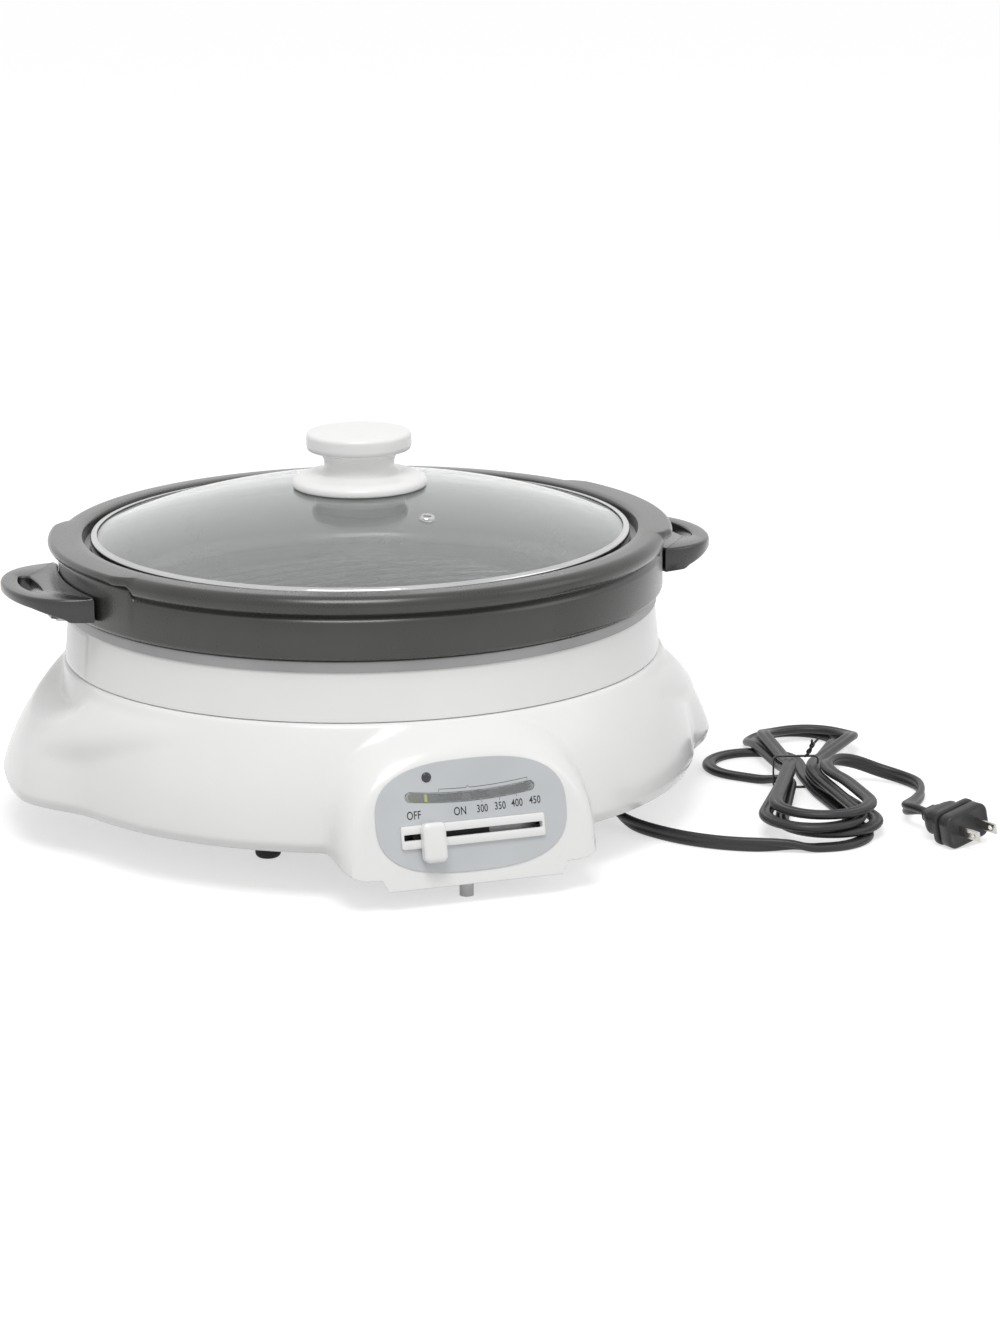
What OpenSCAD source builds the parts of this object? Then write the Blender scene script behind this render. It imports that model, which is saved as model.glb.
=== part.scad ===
// Electric hot pot: round heating base with a sliding heat control, a lift-off collar ring,
// a shallow grill pan and a domed glass lid. Millimetres, +Z up, panel towards -Y,
// pan handles on the X axis. The origin is on the table under the middle of the object.

/* [Base] */
// Height of the lower edge above the table
skirt_z = 28; // [24:1:32]
// Height of the bell from its lower edge to its top seam
bell_h = 70; // [64:1:76]
// How far the bell widens from its top seam down to its lower edge
bell_flare = 20; // [16:1:26]
// Wall of the plastic housing
wall = 3; // [2:0.25:4]
// How far each side grip stands out of the bell at its lower edge
wing_out = 19.5; // [15:0.5:23]
// Half-spread of a side grip towards the back, in degrees
wing_spread = 46; // [38:1:52]
// Depth of the finger scoop on top of each grip
scoop_depth = 13; // [6:1:15]

/* [Control panel] */
// Half-width of the front pad
pad_half = 92; // [88:1:98]
// Height of the flat front bottom edge above the table
pad_z = 12; // [9:1:15]
// Lean of the panel face from the vertical, in degrees
panel_tilt = 13; // [8:1:18]
// How far the panel's middle stands in front of the bell's lower edge
panel_out = 7; // [5:0.5:11]
// Height of the panel's middle
panel_z = 50; // [47:1:53]
// Width of the grey label plate
label_w = 112; // [100:1:120]
// Height of the grey label plate
label_h = 63; // [58:1:68]
// Thickness of the label plate
label_t = 0.6; // [0.4:0.1:1]
// Width of the scale window
window_w = 76; // [70:1:80]
// Height of the scale window
window_h = 5.8; // [5:0.2:7]
// Width of the raised slot frame
frame_w = 84; // [80:1:88]
// Height of the raised slot frame
frame_h = 13; // [12:0.5:15]
// Height of the open slot
slot_h = 3.4; // [3:0.1:4]
// Width of the slider knob
knob_slide_w = 15; // [12:0.5:17]
// Height of the slider knob
knob_slide_h = 21.5; // [18:0.5:24]
// Resting place of the slider, left of the middle
slider_rest = 24.5; // [20:0.5:28]
// Number of teeth on the thermostat pinion
pinion_teeth = 28; // [24:2:32]

/* [Heating] */
// Centreline radius of the heating ring
element_r = 87; // [80:1:92]
// Diameter of the heating tube
element_d = 8; // [6.5:0.5:9]
// Height of the pan's bottom above the heating tube's centre
element_drop = 10; // [9:0.25:12]
// Sheet thickness of the heat shield
shield_t = 1.2; // [0.8:0.1:1.5]
// Depth of the heat shield's well below the top seam
well_depth = 6; // [4:0.5:8]
// Diameter of the sensor stem
stem_d = 8; // [6:0.5:9]
// Turns of the sensor spring
spring_turns = 5; // [4:1:6]

/* [Collar and pan] */
// Height of the collar
collar_h = 30.4; // [26:0.2:34]
// How far the collar widens from its top down to the seam
collar_flare = 2.8; // [1:0.2:5]
// Height of the metal support ring between collar and pan
ring_h = 5.6; // [4.6:0.2:7]
// How far the pan's wall stands out over the support ring
pan_overhang = 3.8; // [2:0.2:5]
// Height of the pan from the support ring to its rim
pan_h = 37.2; // [34:0.2:40]
// Depth of the cooking surface below the support ring's top
pan_drop = 4; // [2:0.25:5]
// Width of the pan's flat rim outside the lid
rim_w = 17; // [14:0.5:20]
// How far the lid's rim laps over the edge of the cooking well
lid_lap = 8; // [6:0.5:12]
// Thickness of the pan's casting
cast_t = 4; // [3:0.25:4.5]
// How far the two ears stand out of the rolled lip
ear_out = 4; // [3:0.5:7]
// Height of a grill ridge
ridge_h = 1.8; // [1.2:0.1:2.2]
// Distance between grill ridges
ridge_pitch = 10.5; // [9:0.5:14]
// Reach of a pan handle from the pan's wall
handle_reach = 35.3; // [32:0.1:42]
// Half-width of a pan handle
handle_half = 45.5; // [40:0.5:48]
// Depth of a pan handle's top face below the rim
handle_drop = 19.6; // [16:0.2:22]

/* [Lid] */
// Outer radius of the lid's steel rim
lid_r = 160; // [158:0.5:161]
// Rise of the glass above the rim
glass_rise = 28; // [24:0.5:32]
// Thickness of the glass
glass_t = 3.8; // [3:0.1:4]
// Distance of the steam vent from the middle
vent_r = 78; // [60:1:100]
// Radius of the lid knob's skirt
knob_skirt_r = 39.6; // [36:0.4:42]
// Radius of the lid knob's top
knob_top_r = 31; // [28:0.5:33]
// Radius of the lid knob's neck
knob_neck_r = 20.8; // [18:0.2:22]
// Height of the lid knob above the glass
knob_h = 32; // [28:0.5:36]

/* [Feet] */
// Diameter of a rubber foot
foot_d = 15; // [12:0.5:18]
// Distance of the rubber feet from the pot axis
foot_r = 120; // [110:1:128]

/* [Mains lead] */
// Width of the flat two-core lead
cord_w = 8.5; // [7:0.25:9]
// Thickness of the flat two-core lead
cord_t = 4.6; // [4:0.2:5.2]
// Turns of the tied hank
hank_turns = 3; // [2:1:4]
// Reach of the hank's longest loop from its tie
hank_reach = 132; // [122:1:138]
// Width of the plug's face
plug_w = 31; // [27:0.5:33]
// Height of the plug's face
plug_h = 21; // [18:0.5:22]
// Length of the plug's body
plug_l = 35; // [30:1:38]

/* [Hidden] */

$fn = 96;
seat = 0.3;             // clearance of a piece that lifts off or rests on another
snug = 0.1;             // clearance between fixed pieces
run = 0.05;             // radial clearance of a shaft in its bore
eps = 0.01;

lid_gap = 4;            // open gap between the lid's rim and the pan's rim
ledge_r = lid_r + lid_gap;
bowl_r = lid_r - lid_lap;
lip_r = ledge_r + rim_w;
skirt_in = lip_r - 6;   // inside of the pan's outer wall
wall_r = lip_r - 1.8;   // outside of the pan's outer wall
ear_r = lip_r + ear_out;
handle_r = wall_r + handle_reach;
ring_r = wall_r - pan_overhang;
ring_lip = 0.9;         // sheet that the support ring laps over the collar
collar_r = ring_r - ring_lip - seat;
low_r = collar_r + collar_flare;
seam_r = low_r + 1;
skirt_r = seam_r + bell_flare;
panel_y = skirt_r + panel_out;

seam_z = skirt_z + bell_h;
collar_z = seam_z + collar_h;
ring_z = collar_z + ring_h;
rim_z = ring_z + pan_h;
handle_z = rim_z - handle_drop;
floor_z = ring_z - pan_drop;
pan_bottom = floor_z - cast_t;
element_z = pan_bottom - element_drop;
well_z = seam_z - well_depth;

knob_reach = 11;        // slider knob in front of the panel face
front_reach = panel_y + (panel_z - 24) * tan(panel_tilt) + knob_reach - 1;
back_reach = skirt_r;
axis_y = (front_reach - back_reach) / 2;

cover_t = 2.5;
cover_top = skirt_z + cover_t + 0.5;
tray_half = 46;
foot_h = 10;
post_r = seam_r - 11.5; // circle of the cover screws' posts
post_d = 10;
well_r = post_r - post_d / 2 - shield_t - seat;
post_angles = [40, 140, 220, 320];
plane_fall = tan(panel_tilt);
tray_front = face_y(cover_top) - wall - 1;
tray_reach = face_y(pad_z + 0.5 + cover_t) - wall - seat;
tray_lip = 12;

slot_v = -9.5;          // slot's height on the panel face
window_v = 10.4;
lamp_at = [-24.5, 23];
window_sag = 2.8;
slot_w = frame_w - 3;
module_mm = 1;
pinion_r = module_mm * pinion_teeth / 2;
pinion_v = slot_v + 4.5 + pinion_r;
gear_front = -8.5;      // depth of the gears behind the panel face
gear_t = 4;
rack_half = 37;
bracket_depth = 14.8;
boss_places = [[-40, 15], [40, 15], [-32, -22], [32, -22]];

contact_z = element_z + element_d / 2 + seat;
ledge_z = rim_z - 7.2;
ear_half = 27;

dome_r = (pow(lid_r - 3, 2) + pow(glass_rise, 2)) / (2 * glass_rise);
dome_top = rim_z - 1.2 + glass_rise;
dome_c = dome_top - dome_r;
function dome_z(r) = dome_c + sqrt(dome_r * dome_r - r * r);
rim_low = ledge_z + seat;
vent_turn = 13;
shank_r = 2.5;

// ---- shared helpers ----
function ease(t) = t <= 0 ? 0 : t >= 1 ? 1 : t * t * (3 - 2 * t);
function arc(c, r, a, b, n) = [for (i = [0:n]) let (q = a + (b - a) * i / n) c + r * [cos(q), sin(q)]];
module on_axis() { translate([0, axis_y, 0]) children(); }
module ring_at(angles, r) {
  for (a = angles) rotate([0, 0, a]) translate([r, 0, 0]) children();
}
module tube(outer, inner, h) {
  difference() {
    cylinder(r = outer, h = h);
    translate([0, 0, -1]) cylinder(r = inner, h = h + 2);
  }
}
module slab(size) {
  translate([-size.x / 2, -size.y / 2, 0]) cube(size);
}
// Face of the control panel: x to the right, y up the face, z out of it
module on_panel() {
  on_axis() translate([0, -panel_y, panel_z]) rotate([90 - panel_tilt, 0, 0]) children();
}

// Skin of stacked closed rings, each with the same number of points; ends "cap" or "join"
function skin_sides(n, m, last) = [
  for (i = [0:last]) for (j = [0:m - 1])
    let (a = i * m + j, b = i * m + (j + 1) % m)
    let (c = ((i + 1) % n) * m + (j + 1) % m, d = ((i + 1) % n) * m + j)
    each [[a, b, c], [a, c, d]]
];
function skin_caps(n, m) = [
  for (j = [1:m - 2]) each [[0, j + 1, j], [(n - 1) * m, (n - 1) * m + j, (n - 1) * m + j + 1]]
];
module skin(rings, closed) {
  n = len(rings);
  m = len(rings[0]);
  sides = skin_sides(n, m, closed ? n - 1 : n - 2);
  polyhedron([for (r = rings) each r], closed ? sides : concat(sides, skin_caps(n, m)));
}
// Rings of an oval tube of the given width and thickness along a list of points, lying flat or
// rolled about its own line by a list of degrees
function tangent(p, i) =
  let (d = p[min(i + 1, len(p) - 1)] - p[max(i - 1, 0)]) d / norm(d);
function oval_rings(p, w, t, sides, rolls = []) = [
  for (i = [0:len(p) - 1])
    let (f = tangent(p, i), s = cross(f, [0, 0, 1]), level = s / norm(s), rise = cross(level, f))
    let (q = len(rolls) > i ? rolls[i] : 0)
    let (side = level * cos(q) + rise * sin(q), up = rise * cos(q) - level * sin(q))
    [for (k = [0:sides - 1]) let (a = 360 * (k + 0.5) / sides)
      p[i] + side * (w / 2 * cos(a)) + up * (t / 2 * sin(a))]
];
// Smooth route through hand-chosen points
function spline(a, b, c, d, t) = 0.5 * (2 * b + (c - a) * t
  + (2 * a - 5 * b + 4 * c - d) * t * t + (3 * b - a - 3 * c + d) * t * t * t);
function route(p, steps) = concat([
  for (i = [0:len(p) - 2]) for (k = [0:steps - 1])
    spline(p[max(i - 1, 0)], p[i], p[i + 1], p[min(i + 2, len(p) - 1)], k / steps)
], [p[len(p) - 1]]);

// ---- base housing: one wall swept round the axis by a formula ----
pad_low = 18;           // height below which the pad keeps its full width
pad_top = seam_z - pad_low + 2;
function bell(z) = let (s = (seam_z - z) / (seam_z - skirt_z))
  seam_r + (skirt_r - seam_r) * sin(90 * pow(max(0, min(1, s)), 0.9))
  - 2.5 * ease((skirt_z + 6 - z) / 6);
// Side grip: it widens down to the lower edge, steep towards the front and soft towards the
// back. side counts degrees from the middle of the grip, towards the back
function wing(side, z) =
  let (rise = pow(max(0, min(1, (seam_z - 6 - z) / (seam_z - 6 - skirt_z))), 0.8))
  let (up = ease((seam_z - z - 3) / -40 + 1))
  let (front = ease(0.5 + (11.5 + 22 * up + side) / (17 + 8 * up)))
  wing_out * rise * front * ease((wing_spread - side) / 28);
// Share of the finger scoop, an oval dish that is open at the seam
function scoop(side, z) =
  let (q = norm([(side - 4) / 20.5, (seam_z - 2 - z) / 25.5])) ease((1 - q) / 0.35);
function pad_share(x, z) =
  let (q = pow(abs(x) / pad_half, 2.6) + pow(max(0, z - pad_low) / pad_top, 2.6))
  ease((1 - pow(q, 1 / 2.6)) / 0.25);
function face_y(z) = panel_y - (z - panel_z) * plane_fall;
// Radius of the outer skin; phi is measured from the front, z is the height
function skin_r(phi, z) =
  let (side = abs(phi) - 90, full = bell(z) + wing(side, z))
  let (b = full - min(scoop_depth, full - seam_r - 0.1 * (seam_z - z)) * scoop(side, z))
  abs(phi) > 50 ? b : b + pad_share(face_y(z) * tan(phi), z) * (face_y(z) / cos(phi) - b);
function edge_z(phi) =
  let (x = abs(phi) > 60 ? 999 : panel_y * abs(tan(phi)))
  x < 51 ? pad_z : x < 62 ? pad_z + 7 : x < 88 ? pad_z + 7 + (skirt_z - pad_z - 7) * (x - 62) / 26
  : skirt_z;
levels = [0, 0.06, 0.14, 0.22, 0.31, 0.41, 0.52, 0.64, 0.77, 0.84, 0.91, 1];
phis = concat([for (a = [34:-2:-34]) a],
  [for (i = [1:47]) let (a = -34 - i * 292 / 48) a < -180 ? a + 360 : a]);
function level_z(phi, t) = seam_z - t * (seam_z - edge_z(phi));
function wall_section(phi) =
  concat(
    [for (t = levels) let (z = level_z(phi, t)) [skin_r(phi, z), z]],
    [for (i = [11:-1:1]) let (z = level_z(phi, levels[i])) [skin_r(phi, z) - wall, z]],
    [[well_r + 3, seam_z - wall - 1.2], [well_r + 3, seam_z]]);
module base_housing() {
  color("whitesmoke") difference() {
    union() {
      on_axis() skin([for (phi = phis) [for (q = wall_section(phi))
        [q.x * sin(phi), -q.x * cos(phi), q.y]]], true);
      on_axis() ring_at(post_angles, post_r) translate([0, 0, cover_top + snug])
        cylinder(d = post_d, h = seam_z - wall - cover_top);
      on_panel() for (b = boss_places) translate([b.x, b.y, -bracket_depth])
        cylinder(r = 3.5, h = bracket_depth - wall / 2);
    }
    on_axis() ring_at(post_angles, post_r) translate([0, 0, cover_top - 1]) cylinder(r = 1.75, h = 16);
    on_panel() {
      for (b = boss_places) translate([b.x, b.y, -bracket_depth - 1]) cylinder(r = 1.3, h = 10);
      translate([0, slot_v, -wall - 2]) slab([frame_w - 1, slot_h + 4, wall + 4]);
      translate([0, window_v, -wall - 2]) smile(window_w - 4, window_h - 1.4, wall + 4);
      translate([lamp_at.x, lamp_at.y, -wall - 2]) cylinder(r = 2.75 + snug, h = wall + 4);
    }
  }
}
// Slightly smiling bar with round ends, drawn on the panel face
smile_r = pow(window_w / 2, 2) / (2 * window_sag);
module smile(w, h, t) {
  half = asin((w - h) / 2 / smile_r);
  linear_extrude(t) translate([0, smile_r]) polygon(concat(
    arc([0, 0], smile_r + h / 2, -90 - half, -90 + half, 20),
    arc(smile_r * [cos(half - 90), sin(half - 90)], h / 2, half - 90, half + 90, 8),
    arc([0, 0], smile_r - h / 2, -90 + half, -90 - half, 20),
    arc(smile_r * [cos(-half - 90), sin(-half - 90)], h / 2, 90 - half, 270 - half, 8)));
}

// ---- underside ----
module bottom_cover() {
  color("gainsboro") on_axis() difference() {
    union() {
      translate([0, 0, skirt_z + 0.5]) cylinder(r = skirt_r - wall - 4, h = cover_t);
      translate([0, 16.5 - tray_front, pad_z + 0.5]) slab([tray_half * 2, 33, cover_top - pad_z - 0.5]);
      translate([0, tray_lip / 2 - tray_reach, pad_z + 0.5]) slab([tray_half * 2, tray_lip, cover_t]);
      translate([0, 0, skirt_z - 3.5]) linear_extrude(cover_t + 2)
        polygon([[-78, 45 - tray_front], [-58, 2 - tray_front], [58, 2 - tray_front],
          [78, 45 - tray_front]]);
      ring_at([45, 135, 225, 315], foot_r) translate([0, 0, foot_h]) {
        cylinder(r1 = foot_d / 2 + 1.5, r2 = foot_d / 2 + 4, h = skirt_z - foot_h + 1);
      }
    }
    translate([0, 16.5 - tray_front, pad_z + 0.5 + cover_t])
      slab([tray_half * 2 - 5, 28, cover_top - pad_z]);
    translate([0, 10 - tray_front, pad_z + 4 + cover_t])
      slab([tray_half * 2 - 5, 28, cover_top - pad_z]);
    ring_at(post_angles, post_r) translate([0, 0, skirt_z - 1]) cylinder(r = 2.2, h = cover_t + 3);
    ring_at([45, 135, 225, 315], foot_r) translate([0, 0, foot_h - 1]) cylinder(r = 3 + run, h = 8);
    ring_at([for (i = [0:11]) i * 30 + 15], 70) translate([0, 0, skirt_z - 1]) slab([32, 4, cover_t + 3]);
    translate([0, -peg_r, pad_z - 1]) cylinder(r = 2 + run, h = 6);
    translate([gland_x, gland_y, skirt_z - 1]) cylinder(r = 5, h = cover_t + 3);
  }
}
module rubber_feet() {
  color("#1c1c1e") on_axis() ring_at([45, 135, 225, 315], foot_r) {
    rotate_extrude() polygon(concat([[0, 0]], arc([foot_d / 2 - 3, 3], 3, -90, 0, 6),
      [[foot_d / 2, foot_h], [3, foot_h], [3, foot_h + 6], [0, foot_h + 6]]));
  }
}
peg_r = face_y(pad_z) - 19;
module front_peg_foot() {
  color("lightgrey") on_axis() translate([0, -peg_r, 0]) {
    cylinder(d = 8, h = pad_z + 0.5);
    cylinder(r = 2, h = pad_z + 3.5);
  }
}
module cover_screws() {
  color("silver") on_axis() ring_at(post_angles, post_r) {
    translate([0, 0, skirt_z - 2]) cylinder(r = 3.8, h = 2.5);
    translate([0, 0, skirt_z]) cylinder(r = 1.7, h = 16);
  }
}

// ---- heater ----
lip_top = seam_z + 5;
lip_out = post_r + 1;   // outside of the shield's upright lip
module heat_shield() {
  color("lightsteelblue") on_axis() difference() {
    rotate_extrude($fn = 160) polygon([
      [guide_r + snug, well_z], [well_r + shield_t, well_z], [well_r + shield_t, seam_z],
      [lip_out, seam_z], [lip_out, lip_top], [lip_out - shield_t, lip_top],
      [lip_out - shield_t, seam_z + shield_t], [well_r, seam_z + shield_t],
      [well_r, well_z + shield_t], [guide_r + snug, well_z + shield_t]]);
    element_leg_holes(well_z - 1);
  }
}
dish_in = 24;
dish_out = well_r - 12;
module reflector_dish() {
  color("silver") on_axis() difference() {
    translate([0, 0, well_z + shield_t]) rotate_extrude($fn = 160) polygon([
      [dish_in, 0], [dish_out - 20, 0], [dish_out, 5.5], [dish_out, 6.3], [dish_out - 20.2, 0.8],
      [dish_in, 0.8]]);
    element_leg_holes(well_z - 1);
  }
}
gap_half = 12;          // half the open angle of the heating ring, at the front
leg_low = well_z - 10;
module element_leg_holes(z) {
  ring_at([-90 - gap_half, -90 + gap_half], element_r)
    translate([0, 0, z]) cylinder(r = element_d / 2 + 1, h = 12);
}
module heating_ring() {
  color("dimgray") on_axis() {
    translate([0, 0, element_z]) rotate([0, 0, -90 + gap_half])
      rotate_extrude(angle = 360 - 2 * gap_half, $fn = 120) translate([element_r, 0]) circle(d = element_d);
    ring_at([-90 - gap_half, -90 + gap_half], element_r) {
      translate([0, 0, element_z]) sphere(d = element_d + 0.4);
      translate([0, 0, leg_low]) cylinder(d = element_d - 1, h = element_z - leg_low);
      translate([0, 0, leg_low - 8]) slab([6.3, 0.8, 8.5]);
    }
  }
}
support_z = well_z + shield_t + 0.8;
module ring_supports() {
  color("darkgray") on_axis() ring_at([30, 150, 210, 330], element_r) difference() {
    translate([0, 0, support_z]) union() {
      slab([18, 10, 1.2]);
      slab([14, 2, element_z - support_z - 1]);
    }
    translate([0, 0, element_z]) rotate([90, 0, 0])
      cylinder(d = element_d + 2 * snug, h = 30, center = true);
  }
}
guide_r = 7;
guide_top = well_z + 11;
guide_low = well_z - 16;
module sensor_guide() {
  color("silver") on_axis() difference() {
    union() {
      translate([0, 0, guide_low]) cylinder(r = guide_r, h = guide_top - guide_low);
      translate([0, 0, well_z + shield_t]) cylinder(r = 18, h = 1.6);
    }
    translate([0, 0, guide_low - 1]) cylinder(r = stem_d / 2 + run, h = guide_top - guide_low + 2);
  }
}
head_top = pan_bottom - seat;
head_t = 3.5;
module sensor_plunger() {
  color("goldenrod") on_axis() {
    translate([0, 0, head_top - head_t]) cylinder(r = 12, h = head_t);
    translate([0, 0, guide_low - 7]) cylinder(d = stem_d, h = head_top - guide_low + 6);
    translate([0, 0, guide_low - 1.2 - seat]) cylinder(r = stem_d / 2 + 1.6, h = 1.2);
  }
}
spring_r = 8.6;
spring_wire = 1.2;
spring_low = guide_top + spring_wire / 2 + snug;
spring_high = head_top - head_t - spring_wire / 2 - snug;
function coil(t) = [spring_r * cos(360 * t), spring_r * sin(360 * t),
  spring_low + (spring_high - spring_low) * t / spring_turns];
module sensor_spring() {
  color("lightgrey") on_axis() skin(
    oval_rings([for (i = [0:spring_turns * 8]) coil(i / 8)], spring_wire, spring_wire, 6), false);
}
module thermal_fuse() {
  color("ivory") on_axis() translate([34, -58, well_z - 4.2]) {
    rotate([0, 90, 0]) cylinder(r = 3.2, h = 16, center = true);
    translate([0, 0, 2.6]) slab([6, 11, 1.4]);
  }
}

// ---- control panel ----
function super_oval(w, h, power, n) = [for (i = [0:n - 1]) let (a = 360 * i / n, c = cos(a), s = sin(a))
  [w / 2 * sign(c) * pow(abs(c), 2 / power), h / 2 * sign(s) * pow(abs(s), 2 / power)]];
module label_plate() {
  color("#a9adb0") on_panel() difference() {
    linear_extrude(label_t) polygon(super_oval(label_w, label_h, 2.7, 96));
    translate([0, window_v, -1]) smile(window_w + 0.2, window_h + 0.2, label_t + 2);
    translate([0, slot_v, -1]) slab([frame_w + 0.2, frame_h + 0.2, label_t + 2]);
    translate([lamp_at.x, lamp_at.y, -1]) cylinder(r = 2.75 + snug, h = label_t + 2);
  }
}
module window_lens() {
  color("#55585a", 0.8) on_panel() translate([0, window_v, 0]) smile(window_w, window_h, label_t);
}
module slot_frame() {
  color("white") on_panel() translate([0, slot_v, 0]) difference() {
    union() {
      slab([frame_w, frame_h, 2.4]);
      translate([0, 0, -wall]) slab([frame_w - 1.4, slot_h + 3.6, wall + 1]);
    }
    translate([0, 0, -wall - 1]) slab([slot_w, slot_h, wall + 6]);
  }
}
module pilot_lamp() {
  color("#5a4a4a") on_panel() translate([lamp_at.x, lamp_at.y, -9])
    cylinder(r = 2.75, h = 9 + label_t + 0.6);
}
neck_low = -8;
module slider_knob() {
  color("white") on_panel() translate([-slider_rest, slot_v - 3, 2.4 + seat]) difference() {
    union() {
      slab([knob_slide_w, knob_slide_h, knob_reach - 5.2]);
      translate([0, 0, knob_reach - 5.2]) slab([knob_slide_w - 2, knob_slide_h - 2, 1]);
    }
    translate([0, 3, -1]) slab([6 + 2 * snug, slot_h - 0.4 + 2 * snug, 5]);
  }
}
module rack_tooth(x) {
  polygon([[x - 1.15, -1.3], [x + 1.15, -1.3], [x + 1.1, -1.2], [x + 0.32, 0.95],
    [x - 0.32, 0.95], [x - 1.1, -1.2]]);
}
module slider_carriage() {
  pitch_v = pinion_v - pinion_r;
  first = ceil((-slider_rest - rack_half + 2) / (PI * module_mm));
  last = floor((-slider_rest + rack_half - 2) / (PI * module_mm)) - 1;
  color("whitesmoke") on_panel() {
    translate([-slider_rest, 0, 0]) {
      translate([0, slot_v, neck_low]) slab([6, slot_h - 0.4, 2.4 + seat + 3.5 - neck_low]);
      translate([0, slot_v, -wall - 0.4 - 5.2]) slab([19, slot_h + 3, 5.2]);
      translate([-rack_half, slot_v - 4.2, gear_front - gear_t]) cube([2 * rack_half, 7.5, gear_t]);
    }
    translate([0, pitch_v, gear_front - gear_t]) linear_extrude(gear_t)
      for (k = [first:last]) rack_tooth((k + 0.5) * PI * module_mm);
  }
}
module scale_pointer() {
  color("#c9d23a") on_panel() translate([-slider_rest, 0, -wall - 1.8])
    translate([-0.7, slot_v + slot_h / 2 + 1.5, 0])
      cube([1.4, window_v + window_h / 2 - slot_v - 3.2, 1.2]);
}
// Involute pinion
base_r = pinion_r * cos(20);
function involute(r) = let (t = acos(min(1, base_r / r))) tan(t) * 180 / PI - t;
half_tooth = 90 / pinion_teeth - 0.7;
function flank(r) = half_tooth + involute(pinion_r) - involute(max(r, base_r));
function tooth(c) = let (tip = pinion_r + 0.95 * module_mm, root = pinion_r - 1.25 * module_mm)
  let (rs = [root, base_r + 0.3, pinion_r, tip])
  concat([for (r = rs) r * [cos(c - flank(r)), sin(c - flank(r))]],
    [for (i = [3:-1:0]) let (r = rs[i]) r * [cos(c + flank(r)), sin(c + flank(r))]]);
module thermostat_pinion() {
  color("ivory") on_panel() translate([0, pinion_v, gear_front - gear_t]) linear_extrude(gear_t)
    difference() {
      polygon([for (k = [0:pinion_teeth - 1]) each tooth(-90 + k * 360 / pinion_teeth)]);
      circle(r = 3 + eps);
    }
}
module thermostat_shaft() {
  color("silver") on_panel() translate([0, pinion_v, -bracket_depth - 7])
    cylinder(r = 3, h = bracket_depth + 7 + gear_front + 1.5);
}
module thermostat_bracket() {
  up = boss_places[1];
  low = boss_places[3];
  color("silver") on_panel() translate([0, 0, -bracket_depth - shield_t]) difference() {
    linear_extrude(shield_t) polygon([[-up.x - 6, up.y + 5.5], [-up.x - 6, up.y - 7],
      [-low.x - 6, low.y - 5.5], [low.x + 6, low.y - 5.5], [up.x + 6, up.y - 7],
      [up.x + 6, up.y + 5.5]]);
    translate([0, pinion_v, -1]) cylinder(r = 5, h = shield_t + 2);
    for (b = boss_places) translate([b.x, b.y, -1]) cylinder(r = 1.8, h = shield_t + 2);
  }
}
module thermostat_body() {
  color("saddlebrown") on_panel() translate([0, pinion_v, -bracket_depth - shield_t - 18]) difference() {
    union() {
      cylinder(r = 15, h = 18);
      for (x = [-8, 8]) translate([x, 0, -7]) slab([6.3, 0.8, 8]);
    }
    translate([0, 0, 12]) cylinder(r = 3 + run, h = 7);
  }
}
module bracket_screws() {
  color("silver") on_panel() for (b = boss_places) translate([b.x, b.y, -bracket_depth - shield_t]) {
    translate([0, 0, -2]) cylinder(r = 2.8, h = 2);
    cylinder(r = 1.28, h = shield_t + 8);
  }
}

// ---- mains connection inside the base ----
gland_x = 120;
gland_y = -40;
relief_z = 14;
lead_heading = -83;     // direction of the lead where it leaves, in degrees from +X
module terminal_block() {
  color("ivory") on_axis() translate([92, -20, cover_top]) difference() {
    slab([30, 18, 13]);
    for (x = [-8, 0, 8]) translate([x, 0, 7]) cylinder(r = 2, h = 7);
  }
}
// Hand-chosen routes of the inner wires, between the terminals they meet
stat_y = 42.6 - panel_y;
ring_y = -3.5 - element_r * cos(gap_half);
ring_x = element_r * sin(gap_half) + 0.9;
wire_routes = [
  [[120, -40, 30], [117, -38, 40], [111, -32, 46], [100, -22, 45.6]],
  [[84, -22, 45.6], [60, -60, 52], [30, stat_y + 42.4, 55], [10, stat_y + 10.4, 52],
    [8, stat_y, 49.3]],
  [[-8, stat_y, 49.3], [-10, stat_y + 12.4, 53], [-ring_x - 3, ring_y - 32, 66],
    [-ring_x - 7, ring_y - 12, 72], [-ring_x, ring_y, 73]],
  [[ring_x, ring_y, 73], [ring_x + 21, ring_y + 18, 70], [66, -40, 56], [92, -20, 45.6]]
];
module inner_wires() {
  color("crimson") on_axis() for (w = wire_routes) skin(oval_rings(route(w, 3), 2.6, 2.6, 6), false);
}
module at_gland() {
  on_axis() translate([gland_x, gland_y, relief_z]) rotate([0, 0, lead_heading])
    rotate([0, 90, 0]) children();
}
module cord_gland() {
  color("gainsboro") difference() {
    on_axis() translate([gland_x, gland_y, relief_z - 7]) rotate([0, 0, lead_heading])
      slab([14, 18, skirt_z + 0.5 - relief_z + 7]);
    at_gland() translate([0, 0, -10]) cylinder(r = 5 + snug, h = 20);
    on_axis() translate([gland_x, gland_y, relief_z]) cylinder(r = 4, h = 20);
  }
}
relief_l = 26;
module strain_relief() {
  color("#232326") at_gland() difference() {
    union() {
      translate([0, 0, -6]) cylinder(r = 5, h = 14);
      translate([0, 0, 7.3]) cylinder(r = 7, h = 2);
      translate([0, 0, 9.2]) cylinder(r1 = 6, r2 = cord_w / 2 + 0.8, h = relief_l - 9.2);
    }
    translate([0, 0, relief_l - 8]) slab([cord_t + 2 * snug, cord_w + 2 * snug, 9]);
  }
}

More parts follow.
